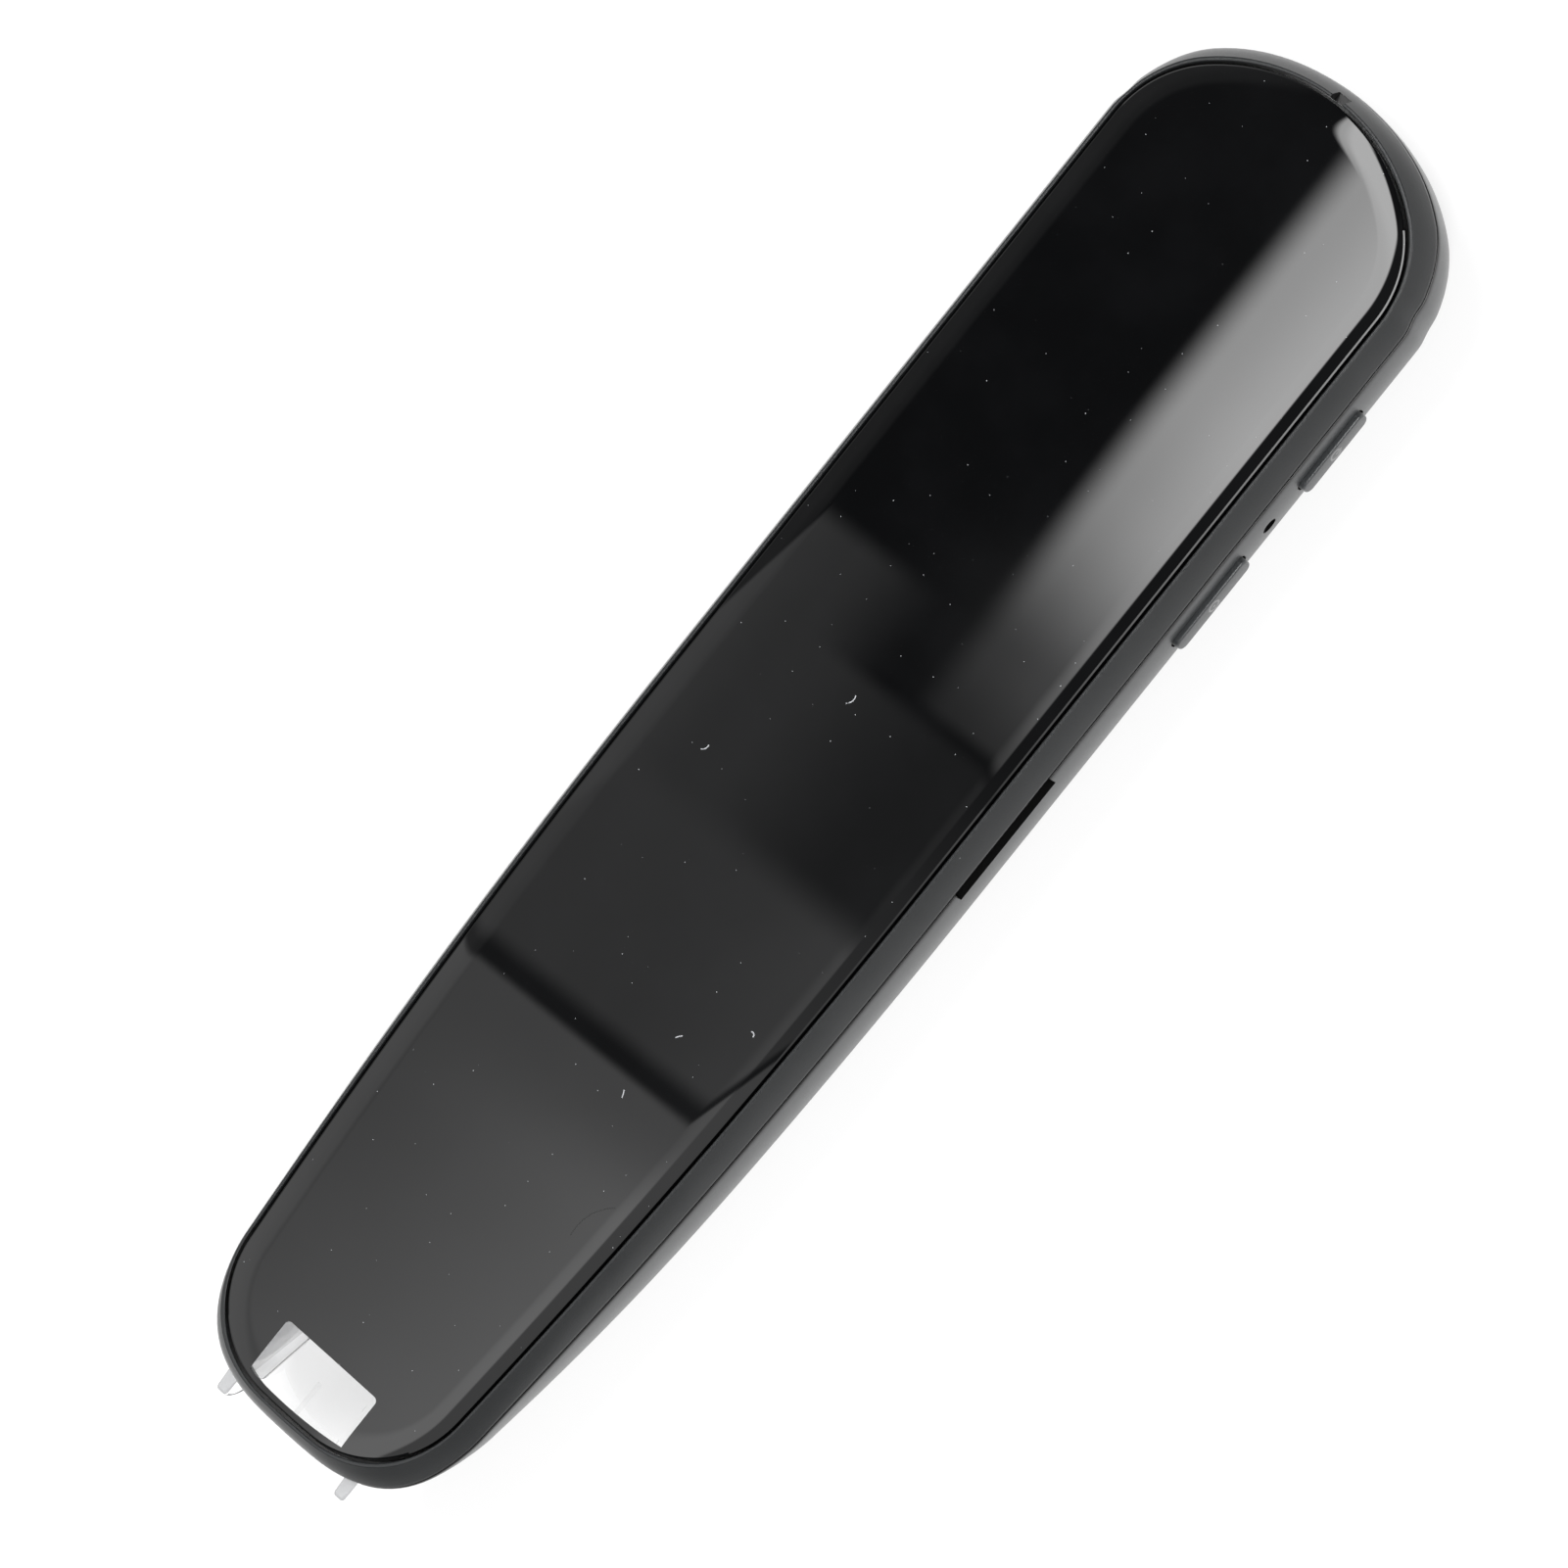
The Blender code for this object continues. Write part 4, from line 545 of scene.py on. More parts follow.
def makeEar(side):
    # side view of an ear: level top, rounded end, long arc back under to the cover
    top, reachY, backY = noseHigh.z, noseLow.y, tipY + nose["earRoot"]
    drop, small = nose["earDrop"], nose["earTopRound"]
    inner, outer = noseHigh.x - nose["wall"] + nose["earSideInset"], noseHigh.x - nose["earSideInset"]
    bm = bmesh.new()
    points = [(backY, top), (backY, top - drop)]
    for step in range(nose["earSteps"]):
        angle = math.pi / 2 * step / nose["earSteps"]
        points.append((backY + (reachY - backY) * (1 + math.sin(angle)) / 2,
                       top - small - (drop - small) * math.cos(angle)))
    points += arc((reachY + small, top - small), small, 180, 90, 5)
    face = bm.faces.new([bm.verts.new((side * inner, y, z)) for y, z in points])
    grown = bmesh.ops.extrude_face_region(bm, geom=[face])["geom"]
    moved = [part for part in grown if isinstance(part, bmesh.types.BMVert)]
    bmesh.ops.translate(bm, verts=moved, vec=(side * (outer - inner), 0, 0))
    ends = [edge for edge in bm.edges if abs(edge.verts[0].co.x - edge.verts[1].co.x) < 1e-7
            and all(vert.co.y < reachY + nose["earRoundFrom"] for vert in edge.verts)]
    roundEdges(bm, ends, nose["earEdge"], 4)
    return addPiece(f"ear_{side}", bm)


def makeNose():
    top, low = noseHigh.z, noseLow.z
    innerY = noseHigh.y - cover["noseArm"]
    inner, outer = noseHigh.x - nose["wall"], noseHigh.x
    trough = roundedBlock("nose_shell", (-outer, tipY - cover["belly"] - overrun, low), (outer, innerY, top))
    shrink = nose["shrink"]
    form = sweepOutline("form", backProfile(shrink) + [(cover["belly"] - shrink, top + overrun)])
    settle(form, coverHigh.z)
    carve(trough, [form], "INTERSECT")
    hollow = roundedBlock("hollow", (-inner, tipY - cover["belly"] - 2 * overrun, low + nose["floor"]),
                          (inner, innerY + overrun, top + overrun))
    carve(trough, [hollow])
    lensLow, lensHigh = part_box("camera_lens")
    armZ = (lensLow.z + lensHigh.z) / 2
    inset = nose["armInset"]
    extras = []
    for side in (-1, 1):
        extras.append(makeEar(side))
        near, far = sorted((side * (inner + inset), side * (outer - inset)))
        extras.append(roundedBlock(f"arm_{side}", (near, innerY - 4 * inset, armZ - nose["armHeight"] / 2),
                                   (far, noseHigh.y, armZ + nose["armHeight"] / 2)))
    extras.append(roundedBlock("finger", (-inner - 5 * inset, noseHigh.y - inset - nose["fingerLength"],
                                          armZ - nose["fingerHeight"] / 2),
                               (nose["fingerReach"] - inner, noseHigh.y - inset,
                                armZ + nose["fingerHeight"] / 2)))
    carve(trough, extras, "UNION")
    return trough


noseShell = makeNose()
print("nose made")


# Node trees: Wire does sums on sockets, Finish adds every other node
class Wire:
    def __init__(self, finish, socket):
        self.finish = finish
        self.socket = socket

    def sum(self, operation, first, second=0.5):
        return self.finish.node("Math", {"operation": operation}, {0: first, 1: second})

    def __add__(self, other):
        return self.sum("ADD", self, other)

    def __radd__(self, other):
        return self.sum("ADD", other, self)

    def __sub__(self, other):
        return self.sum("SUBTRACT", self, other)

    def __rsub__(self, other):
        return self.sum("SUBTRACT", other, self)

    def __mul__(self, other):
        return self.sum("MULTIPLY", self, other)

    def __rmul__(self, other):
        return self.sum("MULTIPLY", other, self)

    def __truediv__(self, other):
        return self.sum("DIVIDE", self, other)

    def __rtruediv__(self, other):
        return self.sum("DIVIDE", other, self)

    def __lt__(self, other):
        return self.sum("LESS_THAN", self, other)

    def __gt__(self, other):
        return self.sum("GREATER_THAN", self, other)

    def __abs__(self):
        return self.sum("ABSOLUTE", self)

    def root(self):
        return self.sum("SQRT", self)

    def above(self, least):
        return self.sum("MAXIMUM", self, least)

    def below(self, most):
        return self.sum("MINIMUM", self, most)


class Finish:
    def __init__(self, name, world=None):
        self.owner = world or bpy.data.materials.new(name)
        self.owner.use_nodes = True
        self.tree = self.owner.node_tree
        self.tree.nodes.clear()

    def node(self, kind, settings=None, sockets=None, output=0):
        made = self.tree.nodes.new("ShaderNode" + kind)
        for name, value in (settings or {}).items():
            if name == "stops":
                for spare in list(made.color_ramp.elements)[1:]:
                    made.color_ramp.elements.remove(spare)
                made.color_ramp.elements[0].position = value[0][0]
                made.color_ramp.elements[0].color = (*value[0][1], 1.0)
                for place, colour in value[1:]:
                    made.color_ramp.elements.new(place).color = (*colour, 1.0)
            else:
                setattr(made, name, value)
        for name, value in (sockets or {}).items():
            if isinstance(value, Wire):
                self.tree.links.new(value.socket, made.inputs[name])
            else:
                made.inputs[name].default_value = value
        return Wire(self, made.outputs[output]) if len(made.outputs) else None

    def place(self):
        return self.node("TexCoord", output="Object")

    def axes(self, vector):
        parts = self.node("SeparateXYZ", sockets={0: vector})
        node = parts.socket.node
        return [Wire(self, node.outputs[i]) for i in range(3)]

    def noise(self, scale, detail=3.0, roughness=0.5, vector=None):
        return self.node("TexNoise", sockets={"Vector": vector or self.place(), "Scale": scale,
                                              "Detail": detail, "Roughness": roughness})

    def ease(self, value, low, high):
        # 0 below low, 1 above high, smooth between
        return self.node("MapRange", {"interpolation_type": "SMOOTHSTEP"},
                         {"Value": value, "From Min": low, "From Max": high})

    def blend(self, factor, first, second):
        colours = {name: colour if isinstance(colour, Wire) else (*colour, 1.0)
                   for name, colour in ((6, first), (7, second))}
        return self.node("Mix", {"data_type": "RGBA"}, {0: factor, **colours}, output=2)

    def bump(self, height, distance, strength=1.0):
        return self.node("Bump", sockets={"Height": height, "Distance": distance, "Strength": strength})

    def specks(self, scale, radius, share, seed=0.0, dimensions="2D"):
        # small round marks in some cells of a pattern, flat for the glass and solid for curved pieces
        moved = self.node("VectorMath", {"operation": "ADD"}, {0: self.place(), 1: (seed, seed, 0)})
        cells = self.node("TexVoronoi", {"voronoi_dimensions": dimensions}, {"Vector": moved, "Scale": scale})
        node = cells.socket.node
        red, green, blue = self.axes(Wire(self, node.outputs["Color"]))
        size = radius * scale * (0.3 + 0.7 * green)
        return (cells < size) * (red < share)

    def shine(self, colour, roughness, metallic=0.0, alpha=1.0, normal=None, **other):
        sockets = {"Base Color": colour if isinstance(colour, Wire) else (*colour, 1.0),
                   "Roughness": roughness, "Metallic": metallic, "Alpha": alpha}
        if normal:
            sockets["Normal"] = normal
        for name, value in other.items():
            sockets[name.replace("_", " ")] = value
        shader = self.node("BsdfPrincipled", sockets=sockets)
        self.node("OutputMaterial", sockets={"Surface": shader})
        return self.owner


openingEdge = 0.00002             # how far a hole's painted shade or painted light laps onto the surface
housing = {
    "colour": (0.0165, 0.0185, 0.0200),
    "lightColour": (0.0215, 0.0235, 0.0250),
    "grainScale": 5200.0,
    "grainHeight": 0.00002,
    "patchScale": 180.0,
    "lint": (260, 0.00007, 0.6),  # scale, radius and share of cells
    "lintColour": (0.35, 0.35, 0.35),
    # near black painted into the holes, the parting line and the tip's groove as painted shade
    "paintedShadeColour": (0.002, 0.002, 0.002),
    "mouthLightColour": (0.60, 0.60, 0.60),
}


def paintedHoleShade(made):
    # 1 on the walls of the cover's holes and in the parting line, which are painted near black as painted
    # shade
    x, y, z = made.axes(made.place())
    edge = openingEdge
    dark = z > coverHigh.z - cover["darkRim"]
    slotY, slotHalf = cover["slotCentre"], cover["slotLength"] / 2 + edge
    holes = [(slotY, slotHalf, coverHigh.z - cover["slotDrop"] / 2, cover["slotDrop"] / 2 + edge)]
    for name in keys["names"]:
        keyY, keyZ, length = keyPlace(name)
        holes.append((keyY, length / 2 + keys["holeGap"] + edge, keyZ,
                      keys["height"] / 2 + keys["holeGap"] + edge))
    for middleY, halfY, middleZ, halfZ in holes:
        dark = dark + (abs(y - middleY) < halfY) * (abs(z - middleZ) < halfZ) * (x > 0.0)
    micY = (microphoneLow.y + microphoneHigh.y) / 2
    micZ = (microphoneLow.z + microphoneHigh.z) / 2
    reach = cover["micRadius"] + edge
    away = (y - micY) * (y - micY) + (z - micZ) * (z - micZ)
    dark = dark + (away < reach ** 2) * (x > 0.0)
    return made.ease(dark, 0.0, 1.0)


def paintedGrooveShade(made):
    # 1 on the frame's wall towards the glass round the tip and in the notch, which are painted near black as
    # painted shade
    x, y, z = made.axes(made.place())
    (tipCentre, _, _), (corner, _, _) = outlineTurns()[:2]
    side = abs(x)
    tipAway = (x * x + (y - tipCentre.y) * (y - tipCentre.y)).root() - outline["tipArc"]
    cornerX, cornerY = side - corner.x, y - corner.y
    cornerAway = (cornerX * cornerX + cornerY * cornerY).root() - outline["tipCorner"]
    atTip = side * (tipCentre.y - corner.y) < corner.x * (tipCentre.y - y)
    away = tipAway * atTip + cornerAway * (1 - atTip)
    wall = (away < rim["groove"] + openingEdge * 2) * (y < corner.y) * (z < frameHigh.z - rim["round"] / 3)
    notch = (side < rim["notchWidth"] / 2 + openingEdge) * (z > frameHigh.z - rim["notchDepth"] - openingEdge)
    return wall + notch * (y > farY) * (y < farY + rim["notchReach"] + openingEdge)


def paintedLightMouth(made):
    # 1 on the walls of the scan mouth, painted pale as painted light in the shaded gap behind the clear nose
    x, y, z = made.axes(made.place())
    mouthEdge = noseHigh.y - cover["noseArm"] + cover["mouthRunning"]
    return (abs(x) < noseHigh.x + cover["mouthGap"] + openingEdge) * (y < mouthEdge + openingEdge)


def keyMarks(made):
    # a power sign on one key and a plain ring with a dot on the other
    x, y, z = made.axes(made.place())
    ringSize, line = keys["markRadius"], keys["markLine"]
    marks = 0.0
    for name in keys["names"]:
        keyY, keyZ, length = keyPlace(name)
        up, over = y - keyY, z - keyZ
        away = (up * up + over * over).root()
        ring = abs(away - ringSize) < line
        if name == "power_key":
            bar = (abs(over) < line) * (up > 0.0) * (up < ringSize * 1.35)
            gap = (abs(over) < line * 2.4) * (up > 0.0)
            mark = ring * (1 - gap) + bar
        else:
            mark = ring + (away < line * 1.5)
        marks = mark + marks
    face = x > coverSideX + keys["proud"] * 0.4
    return marks * face


def housingFinish(name, shade=1.0, roughness=0.38, holes=False, marks=False, shadedGroove=False, **other):
    # satin dark grey with a fine grain
    made = Finish(name)
    grain = made.noise(housing["grainScale"], 2.0)
    patches = made.noise(housing["patchScale"], 3.0)
    dark = [value * shade for value in housing["colour"]]
    light = [value * shade for value in housing["lightColour"]]
    colour = made.blend(made.ease(patches * 0.6 + grain * 0.4, 0.35, 0.65), dark, light)
    colour = made.blend(made.specks(*housing["lint"], dimensions="3D") * 0.5, colour, housing["lintColour"])
    if holes:
        # the scan mouth's walls painted pale: painted light in a shaded gap
        colour = made.blend(paintedLightMouth(made), colour, housing["mouthLightColour"])
        # the walls of the holes and the parting line painted near black: painted shade
        colour = made.blend(paintedHoleShade(made), colour, housing["paintedShadeColour"])
    if shadedGroove:
        # the groove wall round the tip and the notch painted near black: painted shade
        colour = made.blend(paintedGrooveShade(made), colour, housing["paintedShadeColour"])
    if marks:
        colour = made.blend(keyMarks(made), colour, keys["markColour"])
    bumps = made.bump(grain, housing["grainHeight"], 0.5)
    return made.shine(colour, roughness + (grain - 0.5) * 0.12, normal=bumps, **other)


pane = {
    "colour": (0.0020, 0.0021, 0.0023),
    "smearColour": (0.0028, 0.0029, 0.0032),
    "roughness": 0.012,
    "underMargin": 0.0012,        # the underside's print stands back from the window's edge
    "windowHalf": 0.00578,
    "windowFar": -0.06827,
    "windowTip": -0.07420,
    "windowArc": 0.045,           # the window's edge at the tip is round, with its middle to one side
    "windowLean": 0.0006,
    "windowCorner": 0.0005,
    "windowShift": 0.00044,
    "windowAlpha": 0.045,
    "aimX": 0.00045,              # aiming mark under the window, and how far towards the far end it goes
    "aimFar": -0.0708,
    "aimHalf": 0.00026,
    "dashX": 0.00528,
    "dust": (300, 0.000045, 0.45, 3.1),  # scale, radius, share of cells and seed
    "dustShade": 0.65,
    "dustColour": (0.45, 0.46, 0.48),
    "clearColour": (0.45, 0.46, 0.47),
    "markColour": (0.30, 0.30, 0.30),
    "dashHalf": 0.00006,
    # hairs and one worn mark, in millimetres: centre and radius of the curve, middle, half length
    "hairs": (((-1.0, 7.1), 0.85, (-0.2, 6.9), 0.6), ((-8.9, -4.5), 0.65, (-8.3, -4.8), 0.45),
              ((12.1, -21.6), 0.3, (12.3, -21.3), 0.35), ((9.0, -27.6), 2.7, (6.9, -25.9), 0.35),
              ((4.2, -34.0), 2.2, (6.3, -33.0), 0.4)),
    "worn": ((15.1, -44.8), 4.5, (10.9, -43.2), 2.5),
}


def curvedMark(made, x, y, mark, width):
    # 1 on a short stretch of a circle
    centre, radius, middle, half = mark
    acrossX, acrossY = x * 1000 - centre[0], y * 1000 - centre[1]
    fromX, fromY = x * 1000 - middle[0], y * 1000 - middle[1]
    away = (acrossX * acrossX + acrossY * acrossY).root()
    near = fromX * fromX + fromY * fromY < half * half
    return (abs(away - radius) < width) * near


def glassFinish():
    # near black, with a clear window at the tip, dust and a few hairs
    made = Finish("glass")
    x, y, z = made.axes(made.place())
    under = z < (glassLow.z + glassHigh.z) / 2
    margin = under * pane["underMargin"]
    corner, tipCentreY = pane["windowCorner"], pane["windowTip"] + pane["windowArc"]
    across = abs(x - pane["windowShift"]) - (pane["windowHalf"] - corner)
    along = y - (pane["windowFar"] - corner)
    beyond = across.above(0.0) * across.above(0.0) + along.above(0.0) * along.above(0.0)
    inside = beyond < (corner + margin) * (corner + margin)
    tipReach = pane["windowArc"] + margin
    side = x + pane["windowLean"]
    inside = inside * (side * side + (y - tipCentreY) * (y - tipCentreY) < tipReach * tipReach)
    dust = made.specks(*pane["dust"])
    for hair in pane["hairs"]:
        dust = dust + curvedMark(made, x, y, hair, 0.05) * made.ease(made.noise(1500, 1.0), 0.2, 0.5)
    smears = made.noise(60, 4.0)
    colour = made.blend(made.ease(made.noise(140, 5.0), 0.35, 0.75), pane["colour"], pane["smearColour"])
    colour = made.blend((dust * pane["dustShade"]).below(pane["dustShade"]), colour, pane["dustColour"])
    aim = (abs(x - pane["aimX"]) < pane["aimHalf"]) * (y < pane["aimFar"])
    dashes = (abs(x - pane["dashX"]) < pane["dashHalf"]) * (made.noise(900, 0.0) > 0.5)
    marks = (aim + dashes) * under
    colour = made.blend(inside, colour, pane["clearColour"])
    colour = made.blend(marks * inside, colour, pane["markColour"])
    worn = curvedMark(made, x, y, pane["worn"], 0.06) * made.noise(700, 2.0)
    roughness = pane["roughness"] + 0.012 * made.ease(smears, 0.45, 0.7) + (dust * 0.4 + worn * 0.6)
    alpha = 1 - inside * (1 - pane["windowAlpha"] - marks * 0.13)
    return made.shine(colour, roughness, alpha=alpha)


clear = {                         # measures in millimetres
    "wallHalf": 0.07,             # how near the side walls' inner faces a point is taken to be on them
    "wallFront": -76.0,
    "greyEdge": (-69.5, 3.63, 0.667),  # the greyer upper part's edge: a place along, its level and slope
    "footEdge": (-70.0, 1.42, 0.52),
    "footHalf": 0.28,
    "archOut": 0.1,               # dark edge of the left ear, from the wall's inner face
    "archHalf": 0.22,
    "archFrom": 0.78,
    "archFront": -76.4,
    "colour": (0.85, 0.85, 0.86),
    "darkColour": (0.10, 0.105, 0.11),
    "most": 0.9,
}


def clearFinish():
    # clear, with side walls greyer above a slanted edge, a joint line at their foot and greyer ears
    made = Finish("clear plastic")
    x, y, z = [axis * 1000 for axis in made.axes(made.place())]
    cloud = made.noise(400, 3.0)
    inner = (noseHigh.x - nose["wall"]) * 1000
    wall = (abs(abs(x) - inner) < clear["wallHalf"]) * (y > clear["wallFront"])
    greyY, greyZ, greySlope = clear["greyEdge"]
    greyUpper = wall * (z > greyZ - (y - greyY) * greySlope)
    footY, footZ, footSlope = clear["footEdge"]
    footLevel = footZ - (y - footY).below(0.0) * footSlope
    foot = wall * (abs(z - footLevel) < clear["footHalf"])
    above = wall * (z > footLevel)

    top = z > (noseHigh.z - nose["earTopRound"] / 2) * 1000
    drop, small = nose["earDrop"] * 1000, nose["earTopRound"] * 1000
    rootY, reachY = (tipY + nose["earRoot"]) * 1000, noseLow.y * 1000
    down = (noseHigh.z * 1000 - small - z) / (drop - small)
    along = (rootY - y) * (2 / (rootY - reachY)) - 1
    arch = (abs(x + inner + clear["archOut"]) < clear["archHalf"]) * (y < clear["archFront"])
    arch = arch * (along * along + down * down > clear["archFrom"]) * (down > 0.0)
    dark = greyUpper * 0.45 + foot + top * 0.8 + arch
    colour = made.blend(dark.below(1.0), clear["colour"], clear["darkColour"])
    alpha = 0.03 + 0.02 * cloud + above * 0.68 + foot * 0.25 + top * 0.72 + arch * 0.85
    return made.shine(colour, 0.07 + 0.05 * cloud, alpha=alpha.below(clear["most"]))


def plainFinish(name, first, second, scale, roughness, metallic=0.0, height=0.00001, **other):
    # two close tones in a fine noise, with a matching bump
    made = Finish(name)
    grain = made.noise(scale, 3.0)
    colour = made.blend(made.ease(grain, 0.3, 0.7), first, second)
    return made.shine(colour, roughness + (grain - 0.5) * 0.15, metallic,
                      normal=made.bump(grain, height, 0.5), **other)


def boardFinish():
    # solder mask with tracks and small pads
    made = Finish("board")
    tracks = made.node("TexBrick", {"offset": 0.5}, {"Vector": made.place(), "Scale": 420.0,
                                                    "Mortar Size": 0.06}, output="Fac")
    pads = made.specks(600, 0.0004, 0.3)
    colour = made.blend(tracks, (0.010, 0.075, 0.040), (0.020, 0.130, 0.070))
    colour = made.blend(pads, colour, (0.62, 0.46, 0.20))
    return made.shine(colour, 0.35 + pads * 0.1, pads, normal=made.bump(tracks, 0.00002, 0.4))


def flexFinish():
    # amber film with copper lines along it
    made = Finish("flex")
    lines = made.node("TexWave", {"wave_type": "BANDS", "bands_direction": "X"},
                      {"Vector": made.place(), "Scale": 400.0})
    colour = made.blend(made.ease(lines, 0.4, 0.6), (0.30, 0.12, 0.02), (0.55, 0.28, 0.07))
    return made.shine(colour, 0.35, normal=made.bump(lines, 0.00001, 0.3))


finishes = {
    # the frame's copy is painted darker (0.45) and the cover's lighter (0.9): shaded and lit copies of one
    # grey, painted shade and painted light
    "housing_grey": housingFinish("housing", 0.45, 0.34, shadedGroove=True, Specular_IOR_Level=0.39,
                                  Sheen_Weight=0.26, Sheen_Roughness=0.25),
    "cover_grey": housingFinish("cover housing", 0.9, 0.32, holes=True, Specular_IOR_Level=0.54,
                                Sheen_Weight=0.1, Sheen_Roughness=0.3),
    "glass_black": glassFinish(),
    "clear_plastic": clearFinish(),
    "gasket_black": plainFinish("gasket", (0.012, 0.012, 0.012), (0.022, 0.022, 0.022), 4000, 0.8),
    "display_dark": plainFinish("display", (0.02, 0.02, 0.024), (0.03, 0.03, 0.035), 300, 0.2),
    "steel": plainFinish("steel", (0.48, 0.49, 0.50), (0.62, 0.63, 0.64), 2500, 0.34, 1.0),
    "board_green": boardFinish(),
    "chip_black": plainFinish("chip", (0.018, 0.018, 0.020), (0.032, 0.032, 0.035), 5000, 0.55),
    "flex_amber": flexFinish(),
    "battery_silver": plainFinish("battery", (0.38, 0.39, 0.41), (0.48, 0.49, 0.51), 500, 0.38, 0.7, 0.00004),
    "lead_red": plainFinish("lead", (0.32, 0.02, 0.02), (0.40, 0.04, 0.03), 2500, 0.5),
    "lens_glass": plainFinish("lens", (0.03, 0.035, 0.06), (0.05, 0.055, 0.09), 300, 0.04, Coat_Weight=1.0),
    "led_white": plainFinish("light", (0.80, 0.76, 0.55), (0.88, 0.86, 0.72), 3000, 0.3),
    "rubber_black": plainFinish("rubber", (0.012, 0.012, 0.012), (0.025, 0.025, 0.025), 3500, 0.8),
}


def dress(piece, slotName, body, *stoodFor, finish=None):
    piece.data.materials.clear()
    piece.data.materials.append(finish or finishes[slotName])
    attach(piece, body)
    if stoodFor:
        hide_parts(*stoodFor)


dress(glassPane, "glass_black", "housing", "front_glass")
dress(frameRing, "housing_grey", "housing", "front_frame")
dress(gasketRing, "gasket_black", "housing", "glass_gasket")
dress(coverShell, "housing_grey", "housing", "rear_cover", finish=finishes["cover_grey"])
dress(noseShell, "clear_plastic", "scan_nose_body", "scan_nose")
keyFinish = housingFinish("key rubber", 1.0, 0.36, marks=True, Specular_IOR_Level=0.6, Sheen_Weight=0.15)
for keyName, cap in keyCaps.items():
    dress(cap, "housing_grey", keyName + "_body", keyName, finish=keyFinish)

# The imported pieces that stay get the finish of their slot
for part in nodes.values():
    for number, old in enumerate(part.data.materials):
        part.data.materials[number] = finishes[old.name.split(".")[0]]
print("finishes set")

# The stage: pale floor, soft lamps, and a card over the glass for it to reflect
stage = {
    "floorHalf": 3.0,
    "floorGap": 0.00002,          # below the cover's back, so that the two faces stay apart
    "floorGlow": 0.72,            # what the floor shows by itself; the rest takes the shadow
    "floorColour": (0.85, 0.85, 0.85),
    "pastShadeColour": (0.30, 0.30, 0.30),  # floor beyond the tip, painted darker for the light it sends on: a painted shadow
    "pastEdge": (-0.12, -0.06),
    "tipShade": 0.85,             # how much of the floor's mirror light beyond the tip is taken away: a painted shadow
    "tipEdge": (-0.0785, -0.0735),
    "tipHalf": 0.008,
    "tipLean": 0.7,
    "horizon": (0.06, 0.34),      # height over which the world's mirror light ends
    "lowDim": 0.6,
    "lowDimEdge": (0.45, 0.9),
    "glossLeast": 0.03,
    "worldLevel": 0.55,
    "lampPower": 9.0,
    "lamps": (("lamp_left", (-0.5, 0.1, 0.8), 0.6), ("lamp_right", (0.6, -0.2, 0.7), 0.5)),
    "cardHeight": 0.40,           # above the glass
}
white = (1, 1, 1, 1)


def raysOf(made):
    # 1 for the camera's, mirrored and passing rays
    rays = made.node("LightPath").socket.node
    names = ("Is Camera Ray", "Is Glossy Ray", "Is Transmission Ray")
    return [Wire(made, rays.outputs[name]) for name in names]


def makeFloor():
    bm = bmesh.new()
    bmesh.ops.create_grid(bm, x_segments=1, y_segments=1, size=stage["floorHalf"])
    bmesh.ops.translate(bm, verts=bm.verts, vec=(0, 0, -stage["floorGap"]))
    floor = addPiece("floor", bm)
    made = Finish("floor")
    x, y, z = made.axes(made.place())
    seen, gloss, through = raysOf(made)
    bright = seen + gloss + through
    tipward = y - (abs(x) - stage["tipHalf"]).above(0.0) * stage["tipLean"]
    # painted shadow: the floor's mirror light drops beyond the tip
    dim = gloss * stage["tipShade"] * (1 - made.ease(tipward, *stage["tipEdge"]))
    glow = made.node("Emission", sockets={"Color": white, "Strength": bright - dim})
    # painted shadow: the floor beyond the tip is darker for the light it bounces
    pastShade = (1 - bright).above(0.0) * (1 - made.ease(y, *stage["pastEdge"]))
    paint = made.blend(pastShade, stage["floorColour"], stage["pastShadeColour"])
    matte = made.node("BsdfDiffuse", sockets={"Color": paint})
    mixed = made.node("MixShader", sockets={0: bright * stage["floorGlow"], 1: matte, 2: glow})
    made.node("OutputMaterial", sockets={"Surface": mixed})
    floor.data.materials.append(made.owner)


def makeLight():
    world = bpy.data.worlds.new("studio")
    scene.world = world
    air = Finish("studio", world)
    x, y, z = air.axes(air.node("TexCoord", output="Generated"))
    seen, gloss, through = raysOf(air)
    gloss = gloss + through
    dimmed = 1 - stage["lowDim"] * air.ease(y * -1, *stage["lowDimEdge"])
    low = (1 - air.ease(z, *stage["horizon"])) * dimmed
    mirrored = stage["glossLeast"] + (1 - stage["glossLeast"]) * low
    strength = seen * 1.0 + (1 - seen) * (gloss * mirrored + (1 - gloss) * stage["worldLevel"])
    sky = air.node("Background", sockets={"Color": white, "Strength": strength})
    air.node("OutputWorld", sockets={"Surface": sky})

    for name, place, size in stage["lamps"]:
        data = bpy.data.lights.new(name, "AREA")
        data.shape = "DISK"
        data.size = size
        data.energy = stage["lampPower"]
        lamp = bpy.data.objects.new(name, data)
        lamp.location = place
        lamp.rotation_mode = "QUATERNION"
        lamp.rotation_quaternion = (-Vector(place)).to_track_quat("-Z", "Y")
        lamp.visible_glossy = False
        scene.collection.objects.link(lamp)


